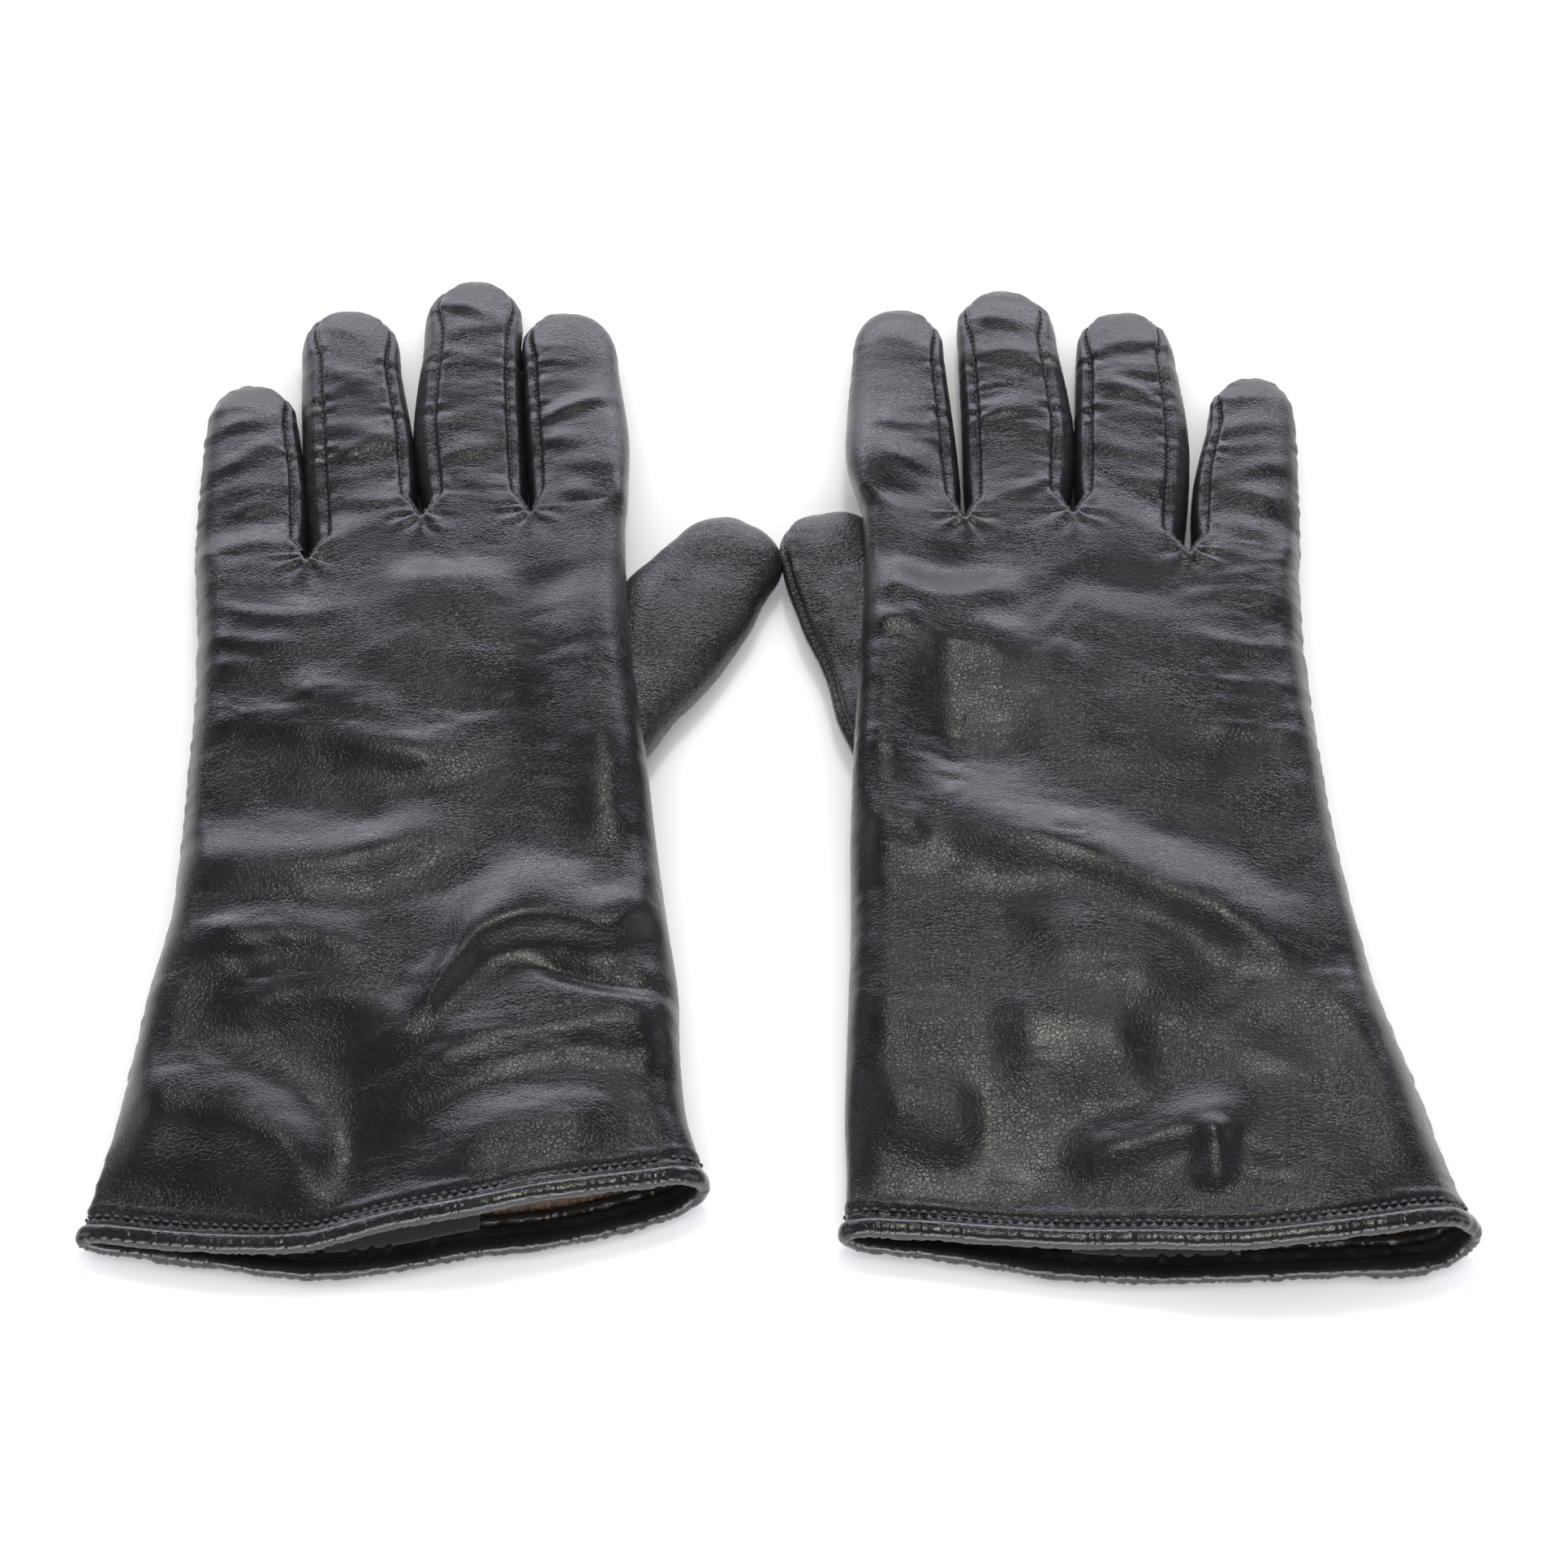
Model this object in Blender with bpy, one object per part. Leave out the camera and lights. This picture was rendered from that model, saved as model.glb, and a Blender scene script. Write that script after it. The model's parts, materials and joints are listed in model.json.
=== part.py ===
"""Pair of black leather dress gloves, lying back-up with the fingers forward.

Each glove is a hollow leather hand with a hinged cuff, four fingers of two hinged lengths,
a thumb of two hinged lengths, six side strips (fourchettes) between the fingers, a knitted
lining, a bound cuff edge with its facing, a label and the seam threads.

Every section across a hand or finger is a flattened tube: straight bottom, half-round sides
and a straight or slightly crowned top. Layers share the section and differ only in how far
they lie inside the outer surface, so the leather, the lining and the facing nest with gaps.

Glove coordinates are millimetres: x towards the thumb, y towards the fingertips, z up.
The right glove is the mirror image of the left, laid a little differently.
"""

import math

import bmesh
import bpy
from mathutils import Matrix, Vector

MM = 0.001

# layers, measured inwards from the outer leather surface
LEATHER = 0.9
LINING = (1.30, 2.10)
STALL_LINING = (1.45, 2.25)
FACING = (1.30, 2.00)
NEIGHBOUR_GAP = 0.35
THREAD_RADIUS = 0.30
THREAD_STAND_OFF = 0.65

# hand and cuff outline, from the cuff edge to the knuckles
STATION_Y = (-118.0, -82.0, -46.0, 0.0, 42.0)
HALF_WIDTH = (61.5, 54.5, 51.0, 49.0, 47.8)
HALF_HEIGHT = (8.4, 8.6, 8.8, 8.8, 7.4)
CROWN = (0.6, 1.0, 1.4, 1.6, 0.6)
FLOOR = (1.3, 0.9, 0.0, 0.0, 0.0)
WRIST_Y = -62.0
WRIST_BEND = (35.0, 35.0)

# fingers: borders between neighbours across the knuckles, lengths and joints along each
BORDERS = (-24.6, -0.2, 24.2)
FINGERS = ("little", "ring", "middle", "index")
KNUCKLE_Y = {"little": 52.0, "ring": 60.0, "middle": 64.0, "index": 64.0}
LENGTH = {"little": 58.5, "ring": 73.0, "middle": 77.5, "index": 69.5}
MID_JOINT = {"little": 27.0, "ring": 34.0, "middle": 37.0, "index": 33.0}
SIDE_CLEARANCE = 0.75
TIP_NARROWING = 1.3
FINGER_HALF_HEIGHT = (6.6, 6.0)
TIP_LENGTH = 12.0
TIP_ANGLES = (25.0, 50.0, 68.0, 80.0)
FINGER_BEND = (80.0, 15.0)
SEAM_ANGLE = 35.0

# thumb: where its opening lies along the index side of the hand
THUMB_HOLE_Y = (-17.0, 43.5)
THUMB_SHORTEST = 2.0
THUMB_LONGEST = 46.0
THUMB_BAG_ROOT = 7.5
THUMB_HINGE_OUT = 0.6
THUMB_STAND_OFF = 1.5
THUMB_BEND = (45.0, 15.0)
THUMB_TIP_BEND = (60.0, 15.0)

JOINT_GAP = 0.5

GLOVES = {
    "left": {
        "side": 1.0,
        "centre_x": -80.0,
        "drift": (3.5, 4.5, 5.0, 2.5, -1.2),
        "lean": {"little": -0.070, "ring": -0.096, "middle": -0.040, "index": -0.045},
        "thumb": {"mid": (61.5, 39.5), "turn": 26.0, "half": 11.6, "height": 6.0, "tip": 29.5},
    },
    "right": {
        "side": -1.0,
        "centre_x": 65.0,
        "drift": (-8.5, -4.5, -0.5, 0.3, -0.5),
        "lean": {"little": -0.066, "ring": -0.014, "middle": 0.026, "index": 0.020},
        "thumb": {"mid": (56.6, 39.0), "turn": 8.0, "half": 7.2, "height": 5.8, "tip": 31.0},
    },
}

MATERIALS = {
    "leather": ((0.022, 0.021, 0.024), 0.42),
    "leather_edge": ((0.018, 0.017, 0.019), 0.32),
    "knit": ((0.075, 0.055, 0.045), 0.95),
    "thread": ((0.035, 0.034, 0.038), 0.70),
    "woven_label": ((0.012, 0.012, 0.014), 0.80),
}


# ---------------------------------------------------------------- scene set-up
def clear_scene():
    for item in list(bpy.data.objects):
        bpy.data.objects.remove(item)


def make_collection(name):
    group = bpy.data.collections.new(name)
    bpy.context.scene.collection.children.link(group)
    return group


def make_material(node_name, kind):
    colour, roughness = MATERIALS[kind]
    material = bpy.data.materials.new("mat_" + node_name)
    material.use_nodes = True
    shader = material.node_tree.nodes["Principled BSDF"]
    shader.inputs["Base Color"].default_value = (*colour, 1.0)
    shader.inputs["Roughness"].default_value = roughness
    shader.inputs["Metallic"].default_value = 0.0
    return material


# ---------------------------------------------------------------- mesh helpers
def add_object(name, verts, faces, kind, group):
    """Make one closed, outward-facing mesh object from points in metres."""
    mesh = bpy.data.meshes.new(name)
    work = bmesh.new()
    made = [work.verts.new(point) for point in verts]
    for face in faces:
        work.faces.new([made[i] for i in face])
    if work.calc_volume(signed=True) < 0:
        bmesh.ops.reverse_faces(work, faces=work.faces[:])
    work.to_mesh(mesh)
    work.free()
    for polygon in mesh.polygons:
        polygon.use_smooth = True
    item = bpy.data.objects.new(name, mesh)
    item.data.materials.append(make_material(name, kind))
    group.objects.link(item)
    return item


def shell(outer, inner, closed, capped=False, absent=()):
    """Faces of a solid between two equal grids of points (rows of columns).

    closed joins the last column to the first. capped covers the last row with a flat end.
    absent names the (row, column) cells that are left open.
    """
    rows = len(outer)
    columns = len(outer[0])
    across = columns if closed else columns - 1
    verts = [point for row in outer for point in row]
    verts += [point for row in inner for point in row]
    shift = rows * columns
    missing = set(absent)

    def corner(i, j):
        return i * columns + j % columns

    def there(i, j):
        if closed:
            j %= columns
        return 0 <= i < rows - 1 and 0 <= j < across and (i, j) not in missing

    faces = []
    for i in range(rows - 1):
        for j in range(across):
            if not there(i, j):
                continue
            a, b = corner(i, j), corner(i, j + 1)
            c, d = corner(i + 1, j + 1), corner(i + 1, j)
            faces.append((a, b, c, d))
            faces.append((d + shift, c + shift, b + shift, a + shift))
            if not there(i - 1, j):
                faces.append((b, a, a + shift, b + shift))
            if not there(i + 1, j) and not (capped and i == rows - 2):
                faces.append((d, c, c + shift, d + shift))
            if not there(i, j - 1):
                faces.append((a, d, d + shift, a + shift))
            if not there(i, j + 1):
                faces.append((c, b, b + shift, c + shift))
    if capped:
        last = [corner(rows - 1, j) for j in range(columns)]
        faces.append(tuple(last))
        faces.append(tuple(i + shift for i in reversed(last)))
    return verts, faces


def plug(grid):
    """Faces of a solid with a closed side and both ends covered flat."""
    rows = len(grid)
    columns = len(grid[0])
    verts = [point for row in grid for point in row]
    faces = [tuple(reversed(range(columns)))]
    for i in range(rows - 1):
        here, ahead = i * columns, (i + 1) * columns
        for j in range(columns):
            k = (j + 1) % columns
            faces.append((here + j, here + k, ahead + k, ahead + j))
    faces.append(tuple(range((rows - 1) * columns, rows * columns)))
    return verts, faces


def ring(grid):
    """Faces of a ring-shaped solid: the grid closes on itself both ways."""
    rows = len(grid)
    columns = len(grid[0])
    verts = [point for row in grid for point in row]
    faces = []
    for i in range(rows):
        here, ahead = i * columns, (i + 1) % rows * columns
        for j in range(columns):
            k = (j + 1) % columns
            faces.append((here + j, here + k, ahead + k, ahead + j))
    return verts, faces


# ---------------------------------------------------------------- section shapes
def section(place, flat, radius, crown):
    """Point (across, up) of a flattened tube about its centre.

    place runs once round from 0 to 4: bottom, thumb-side arc, top, little-finger-side arc.
    """
    part = int(place // 1) % 4
    along = place % 1.0
    if part == 0:
        return (2 * along - 1) * flat, -radius
    if part == 1:
        angle = math.radians(-90 + 180 * along)
        return flat + radius * math.cos(angle), radius * math.sin(angle)
    if part == 2:
        share = 1 - 2 * along
        return share * flat, radius + crown * (1 - share * share)
    angle = math.radians(90 + 180 * along)
    return -flat + radius * math.cos(angle), radius * math.sin(angle)


def station(values, y):
    """Value at y, straight between the outline stations and level beyond them."""
    if y <= STATION_Y[0]:
        return values[0]
    for k in range(1, len(STATION_Y)):
        if y <= STATION_Y[k]:
            share = (y - STATION_Y[k - 1]) / (STATION_Y[k] - STATION_Y[k - 1])
            return values[k - 1] + share * (values[k] - values[k - 1])
    return values[-1]


def opening(z, axis_z, bend):
    """How far an edge stands back from a hinge line so that the joint can bend both ways."""
    below = max(0.0, axis_z - z) * math.tan(math.radians(bend[0] / 2))
    above = max(0.0, z - axis_z) * math.tan(math.radians(bend[1] / 2))
    return JOINT_GAP + below + above


def between(low, high, steps):
    return [low + (high - low) * k / steps for k in range(steps + 1)]


class Glove:
    """One glove: turns glove millimetres into world metres and builds its pieces."""

    def __init__(self, hand, lay, group):
        self.hand = hand
        self.lay = lay
        self.group = group
        self.bodies = {}
        self.shift = Vector((0.0, 0.0, 0.0))
        edges = (self.centre(60.0) - HALF_WIDTH[-1], *BORDERS, self.centre(60.0) + HALF_WIDTH[-1])
        near, far = (Vector((self.centre(y) + station(HALF_WIDTH, y), y)) for y in THUMB_HOLE_Y)
        self.thumb_edge = near
        self.thumb_line = (far - near).normalized()
        self.thumb_out = Vector((self.thumb_line.y, -self.thumb_line.x))
        self.thumb_hinge = near.lerp(far, 0.5) + self.thumb_out * THUMB_HINGE_OUT
        self.middle_x = {}
        self.half = {}
        for k, finger in enumerate(FINGERS):
            self.middle_x[finger] = (edges[k] + edges[k + 1]) / 2
            self.half[finger] = (edges[k + 1] - edges[k]) / 2 - SIDE_CLEARANCE

    # -- placing
    def world(self, x, y, z):
        lay = self.lay
        return Vector(((lay["centre_x"] + lay["side"] * x) * MM, y * MM, z * MM)) + self.shift

    def centre(self, y):
        return station(self.lay["drift"], y)

    def add(self, body, name, kind, solid):
        verts, faces = solid
        item = add_object(f"{name}_{self.hand}", verts, faces, kind, self.group)
        self.bodies.setdefault(body, []).append(item)
        return item

    # -- hand and cuff
    def hand_point(self, place, y, off):
        flat = station(HALF_WIDTH, y) - station(HALF_HEIGHT, y)
        radius = station(HALF_HEIGHT, y)
        x, z = section(place, flat, radius - off, station(CROWN, y))
        return self.centre(y) + x, station(FLOOR, y) + radius + z

    def wrist_axis_z(self):
        return station(FLOOR, WRIST_Y) + station(HALF_HEIGHT, WRIST_Y)

    def finger_axis_z(self):
        return FINGER_HALF_HEIGHT[0]

    def hand_places(self):
        """Columns round the hand; those on the flats mark the borders between fingers."""
        flat = HALF_WIDTH[-1] - HALF_HEIGHT[-1]
        marks = []
        for border in BORDERS:
            for nudge in (-0.3, 0.3):
                marks.append(border + nudge - self.centre(60.0))
        centres = [self.middle_x[f] - self.centre(60.0) for f in FINGERS]
        xs = sorted([-flat, flat, *marks, *centres])
        bottom = [(x / flat + 1) / 2 for x in xs]
        arc = between(0.0, 1.0, 6)[1:-1]
        places = bottom + [1 + a for a in arc]
        places += [3 - b for b in reversed(bottom)]
        places += [3 + a for a in arc]
        return places, xs

    def knuckle_edge(self, x, z):
        finger = FINGERS[sum(x > border for border in BORDERS)]
        return KNUCKLE_Y[finger] - opening(z, self.finger_axis_z(), FINGER_BEND)

    def build_hand(self):
        places, _ = self.hand_places()
        rows = [None, -46.0, THUMB_HOLE_Y[0], 0.0, 22.0, THUMB_HOLE_Y[1], None]
        grids = []
        for off in (0.0, LEATHER):
            grid = []
            for row, y in enumerate(rows):
                line = []
                for place in places:
                    at = y
                    if row == 0:
                        _, z = self.hand_point(place, WRIST_Y, off)
                        at = WRIST_Y + opening(z, self.wrist_axis_z(), WRIST_BEND)
                    if row == len(rows) - 1:
                        x, z = self.hand_point(place, 60.0, off)
                        at = self.knuckle_edge(x, z)
                    x, z = self.hand_point(place, at, off)
                    line.append(self.world(x, at, z))
                grid.append(line)
            grids.append(grid)
        count = len(places)
        hole = []
        for row in range(2, 5):
            for column in range(count):
                here = places[column] % 4
                after = places[(column + 1) % count] % 4
                if 0.999 <= here and after <= 2.001 and after > here:
                    hole.append((row, column))
        self.add("hand", "trank_hand", "leather", shell(grids[0], grids[1], True, absent=hole))

    def tube_places(self, flats, arcs):
        places = [k / flats for k in range(flats)]
        places += [1 + k / arcs for k in range(arcs)]
        places += [2 + k / flats for k in range(flats)]
        places += [3 + k / arcs for k in range(arcs)]
        return places

    def build_cuff(self):
        places = self.tube_places(10, 6)
        grids = []
        for off in (0.0, LEATHER):
            grid = []
            for row, y in enumerate((None, -82.0, -100.0, -117.0)):
                line = []
                for place in places:
                    at = y
                    if row == 0:
                        _, z = self.hand_point(place, WRIST_Y, off)
                        at = WRIST_Y - opening(z, self.wrist_axis_z(), WRIST_BEND)
                    x, z = self.hand_point(place, at, off)
                    line.append(self.world(x, at, z))
                grid.append(line)
            grids.append(grid)
        self.add("cuff", "trank_cuff", "leather", shell(grids[0], grids[1], True))
        self.build_facing(places)
        self.build_edge_ring("cuff_binding", "leather_edge", places, -119.6, 0.75, (2.1, 1.55), 10)
        self.build_edge_ring("hem_thread", "thread", places, -113.0, -THREAD_STAND_OFF,
                             (THREAD_RADIUS, THREAD_RADIUS), 6)
        self.build_label()

    def build_facing(self, places):
        grids = []
        for off in FACING:
            grid = []
            for y in (-107.0, -116.4):
                line = []
                for place in places:
                    x, z = self.hand_point(place, y, off)
                    line.append(self.world(x, y, z))
                grid.append(line)
            grids.append(grid)
        self.add("cuff", "cuff_facing", "leather", shell(grids[0], grids[1], True))

    def build_edge_ring(self, name, kind, places, y, off, size, sides):
        """A cord that runs round the cuff: size is its half length along y and half thickness."""
        grid = []
        for place in places:
            line = []
            for k in range(sides):
                angle = 2 * math.pi * k / sides
                at = y + size[0] * math.cos(angle)
                x, z = self.hand_point(place, y, off + size[1] * math.sin(angle))
                line.append(self.world(x, at, z))
            grid.append(line)
        self.add("cuff", name, kind, ring(grid))

    def build_label(self):
        """A folded blank label on the palm side, inside the cuff."""
        low, high = -26.0, 10.0
        near, far = -113.5, -101.0
        base = station(FLOOR, near) + FACING[1] + NEIGHBOUR_GAP
        grid = []
        for y in (near, far):
            line = []
            for x, z in ((low, base), (high, base), (high, base + 0.5), (low, base + 0.5)):
                line.append(self.world(self.centre(y) + x, y, z))
            grid.append(line)
        self.add("cuff", "label", "woven_label", plug(grid))

    # -- fingers
    def finger_point(self, finger, place, v, off, angle=0.0):
        """Point on a finger layer v millimetres past the knuckle, or on its rounded tip."""
        length = LENGTH[finger]
        share = min(max(v / length, 0.0), 1.0)
        half = self.half[finger] - TIP_NARROWING * share
        radius = FINGER_HALF_HEIGHT[0] + (FINGER_HALF_HEIGHT[1] - FINGER_HALF_HEIGHT[0]) * share
        shrink = math.cos(math.radians(angle))
        at = v + (TIP_LENGTH - off) * math.sin(math.radians(angle))
        x, z = section(place, (half - radius) * shrink, (radius - off) * shrink, 0.0)
        x += self.middle_x[finger] + self.lay["lean"][finger] * at
        return x, KNUCKLE_Y[finger] + at, radius + z

    def panel(self, finger, start, stop, off, first, last, steps, tip=False):
        """Grid of points of one leather panel between two places round the finger.

        first and last are distances along the finger; a joint's edge stands back by its wedge.
        """
        places = []
        place = start
        marks = [start]
        for whole in range(int(start) + 1, int(math.ceil(stop))):
            marks.append(float(whole))
        marks.append(stop)
        for low, high in zip(marks, marks[1:]):
            on_arc = int(low % 4) in (1, 3)
            parts = max(1, round((high - low) * (6 if on_arc else 2)))
            for k in range(parts):
                place = low + (high - low) * k / parts
                places.append(place)
        closed = stop - start == 4.0
        if not closed:
            places.append(stop)
        grid = []
        for row in range(steps + 1):
            line = []
            for place in places:
                _, _, z0 = self.finger_point(finger, place, first[0], off)
                _, _, z1 = self.finger_point(finger, place, last[0], off)
                v0 = first[0] + (opening(z0, first[1], FINGER_BEND) if first[1] else 0.0)
                v1 = last[0] - (opening(z1, last[1], FINGER_BEND) if last[1] else 0.0)
                v = v0 + (v1 - v0) * row / steps
                line.append(self.world(*self.finger_point(finger, place, v, off)))
            grid.append(line)
        if tip:
            for angle in TIP_ANGLES:
                line = []
                for place in places:
                    point = self.finger_point(finger, place, last[0], off, angle)
                    line.append(self.world(*point))
                grid.append(line)
        return grid, places, closed

    def build_panel(self, body, name, finger, start, stop, first, last, steps):
        outer, _, closed = self.panel(finger, start, stop, 0.0, first, last, steps)
        inner, _, _ = self.panel(finger, start, stop, LEATHER, first, last, steps)
        return self.add(body, name, "leather", shell(outer, inner, closed))

    def mid_axis_z(self, finger):
        share = MID_JOINT[finger] / LENGTH[finger]
        return FINGER_HALF_HEIGHT[0] + (FINGER_HALF_HEIGHT[1] - FINGER_HALF_HEIGHT[0]) * share

    def build_finger(self, finger):
        """Two lengths of leather with the side strips between back and palm."""
        low = 0.5 - SEAM_ANGLE / 180
        high = 0.5 + SEAM_ANGLE / 180
        first = (0.0, self.finger_axis_z())
        mid = (MID_JOINT[finger], self.mid_axis_z(finger))
        straight = (LENGTH[finger] - TIP_LENGTH, None)
        proximal = f"{finger}_proximal"
        distal = f"{finger}_distal"
        strips = {"little": (1,), "ring": (1, 3), "middle": (1, 3), "index": (3,)}[finger]
        if len(strips) == 1:
            side = strips[0]
            self.build_panel(proximal, f"{finger}_proximal", finger,
                             side + high, side + 4 + low, first, mid, 3)
        else:
            self.build_panel(proximal, f"{finger}_proximal_back", finger,
                             1 + high, 3 + low, first, mid, 3)
            self.build_panel(proximal, f"{finger}_proximal_palm", finger,
                             3 + high, 5 + low, first, mid, 3)
        # the far length is one thimble, slotted where the side strips run into it
        slots = [(s + low, s + high) for s in strips]
        marks = [0.0, 0.5]
        for s in (1, 3):
            marks += [s, s + low / 2, s + low, s + 0.5, s + high, s + (1 + high) / 2]
            marks += [s + 1.0, s + 1.5]
        places = sorted({round(m % 4, 6) for m in marks})
        grids = []
        for off in (0.0, LEATHER):
            grid = []
            for row in range(4):
                line = []
                for place in places:
                    _, _, z = self.finger_point(finger, place, mid[0], off)
                    v0 = mid[0] + opening(z, mid[1], FINGER_BEND)
                    v = v0 + (straight[0] - v0) * row / 3
                    line.append(self.world(*self.finger_point(finger, place, v, off)))
                grid.append(line)
            for angle in TIP_ANGLES:
                line = []
                for place in places:
                    point = self.finger_point(finger, place, straight[0], off, angle)
                    line.append(self.world(*point))
                grid.append(line)
            grids.append(grid)
        absent = []
        for column, place in enumerate(places):
            for near, far in slots:
                if near - 1e-6 <= place < far - 1e-6:
                    absent += [(row, column) for row in range(3)]
        self.add(distal, f"{finger}_distal", "leather",
                 shell(grids[0], grids[1], True, capped=True, absent=absent))
        # side strips
        radius = FINGER_HALF_HEIGHT[1]
        inset = math.degrees(NEIGHBOUR_GAP / (radius - LEATHER)) / 180
        for s in strips:
            facing = {1: "thumb_side", 3: "little_side"}[s]
            self.build_panel(proximal, f"{finger}_fourchette_{facing}", finger,
                             s + low + inset, s + high - inset,
                             first, (straight[0] - NEIGHBOUR_GAP, None), 6)

    # -- thumb
    def thumb_point(self, place, v, off, angle=0.0):
        """Point on a thumb layer v millimetres past the mid joint; negative towards the hand."""
        thumb = self.lay["thumb"]
        turn = math.radians(thumb["turn"])
        ahead = Vector((math.sin(turn), math.cos(turn)))
        across = Vector((math.cos(turn), -math.sin(turn)))
        radius = thumb["height"]
        reach = thumb["tip"] - TIP_LENGTH
        half = thumb["half"] - TIP_NARROWING * min(max(v / reach, 0.0), 1.0)
        shrink = math.cos(math.radians(angle))
        at = v + (TIP_LENGTH - off) * math.sin(math.radians(angle))
        u, z = section(place, (half - radius) * shrink, (radius - off) * shrink, 0.0)
        spot = Vector(thumb["mid"]) + ahead * at + across * u
        return spot.x, spot.y, radius + z

    def thumb_start(self, place, off):
        """Where the slanting cut at the side of the hand meets a line along the thumb."""
        x, y, _ = self.thumb_point(place, 0.0, off)
        turn = math.radians(self.lay["thumb"]["turn"])
        closing = self.thumb_out.dot(Vector((math.sin(turn), math.cos(turn))))
        apart = self.thumb_out.dot(Vector((x, y)) - self.thumb_edge)
        back = (apart - THUMB_STAND_OFF) / closing
        return -min(max(back, THUMB_SHORTEST), THUMB_LONGEST)

    def thumb_grid(self, places, rows, off, near):
        """Rows of the base length (near) or of the far length up to where the tip rounds off."""
        thumb = self.lay["thumb"]
        grid = []
        for row in range(rows + 1):
            line = []
            for place in places:
                _, _, z = self.thumb_point(place, 0.0, off)
                back = opening(z, thumb["height"], THUMB_TIP_BEND)
                first = self.thumb_start(place, off) if near else back
                last = -back if near else thumb["tip"] - TIP_LENGTH
                if near:
                    first = min(first, last - 1.0)
                v = first + (last - first) * row / rows
                line.append(self.world(*self.thumb_point(place, v, off)))
            grid.append(line)
        return grid

    def thumb_tip_rows(self, places, off):
        grid = []
        for angle in TIP_ANGLES:
            reach = self.lay["thumb"]["tip"] - TIP_LENGTH
            grid.append([self.world(*self.thumb_point(p, reach, off, angle)) for p in places])
        return grid

    def build_thumb(self):
        places = self.tube_places(4, 6)
        outer, inner = (self.thumb_grid(places, 4, off, True) for off in (0.0, LEATHER))
        self.add("thumb_base", "thumb_base", "leather", shell(outer, inner, True))
        outer, inner = (self.thumb_grid(places, 2, off, False) + self.thumb_tip_rows(places, off)
                        for off in (0.0, LEATHER))
        self.add("thumb_distal", "thumb_distal", "leather", shell(outer, inner, True, capped=True))

    # -- seam threads
    def cord(self, points):
        """Six-sided cord through points in glove millimetres, square to the y axis."""
        grid = []
        for x, y, z in points:
            line = []
            for k in range(6):
                angle = math.pi * k / 3
                dx = THREAD_RADIUS * math.cos(angle)
                dz = THREAD_RADIUS * math.sin(angle)
                line.append(self.world(x + dx, y, z + dz))
            grid.append(line)
        return plug(grid)

    def build_threads(self):
        points = []
        for y in (WRIST_Y + 5.0, -46.0, -23.0, 0.0, 22.0, KNUCKLE_Y["little"] - 5.0):
            x, z = self.hand_point(3.5, y, -THREAD_STAND_OFF)
            points.append((x, y, z))
        self.add("hand", "side_seam_thread", "thread", self.cord(points))
        points = []
        start = self.thumb_start(1.5, 0.0) + 3.0
        for v in between(start, -2.0, 4):
            points.append(self.thumb_point(1.5, v, -THREAD_STAND_OFF))
        self.add("thumb_base", "thumb_seam_thread", "thread", self.cord(points))

    # -- lining
    def hand_bag(self, off, near, far):
        places = self.tube_places(2, 6)
        grid = []
        for y in (near, -82.0, -46.0, 0.0, 42.0, far):
            line = []
            for place in places:
                x, z = self.hand_point(place, y, off)
                line.append(self.world(x, y, z))
            grid.append(line)
        return plug(grid)

    def finger_bag(self, finger, off):
        places = self.tube_places(2, 6)
        start = 38.0 - KNUCKLE_Y[finger]
        grid = []
        for v in (start, 0.0, MID_JOINT[finger], LENGTH[finger] - TIP_LENGTH):
            line = [self.world(*self.finger_point(finger, place, v, off)) for place in places]
            grid.append(line)
        for angle in TIP_ANGLES:
            line = []
            for place in places:
                point = self.finger_point(finger, place, LENGTH[finger] - TIP_LENGTH, off, angle)
                line.append(self.world(*point))
            grid.append(line)
        return plug(grid)

    def thumb_bag(self, off):
        places = self.tube_places(4, 6)
        mouth = []
        for place in places:
            x, y, z = self.thumb_point(place, self.thumb_start(place, off), off + 0.2)
            apart = self.thumb_out.dot(Vector((x, y)) - self.thumb_edge)
            spot = Vector((x, y)) - self.thumb_out * (apart + THUMB_BAG_ROOT)
            mouth.append(self.world(spot.x, spot.y, z))
        grid = [mouth]
        for share in (1.0, 0.5, 0.0):
            line = []
            for place in places:
                v = self.thumb_start(place, off) * share
                line.append(self.world(*self.thumb_point(place, v, off)))
            grid.append(line)
        reach = self.lay["thumb"]["tip"] - TIP_LENGTH
        grid.append([self.world(*self.thumb_point(place, reach, off)) for place in places])
        return plug(grid + self.thumb_tip_rows(places, off))

    def build_lining(self, cutters):
        outer = [self.hand_bag(LINING[0], -106.5, 47.0)]
        outer += [self.finger_bag(finger, STALL_LINING[0]) for finger in FINGERS]
        outer.append(self.thumb_bag(STALL_LINING[0]))
        inner = [self.hand_bag(LINING[1], -108.0, 46.2)]
        inner += [self.finger_bag(finger, STALL_LINING[1]) for finger in FINGERS]
        inner.append(self.thumb_bag(STALL_LINING[1]))
        body = self.add("hand", "lining", "knit", outer[0])
        tools = []
        for solid in outer[1:]:
            tools.append(("UNION", solid))
        for solid in inner:
            tools.append(("DIFFERENCE", solid))
        for number, (operation, solid) in enumerate(tools):
            verts, faces = solid
            name = f"bag_{self.hand}_{number}"
            tool = add_object(name, verts, faces, "knit", cutters)
            tool.hide_render = True
            tool.display_type = "WIRE"
            cut = body.modifiers.new(name, "BOOLEAN")
            cut.operation = operation
            cut.solver = "EXACT"
            cut.object = tool

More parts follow.
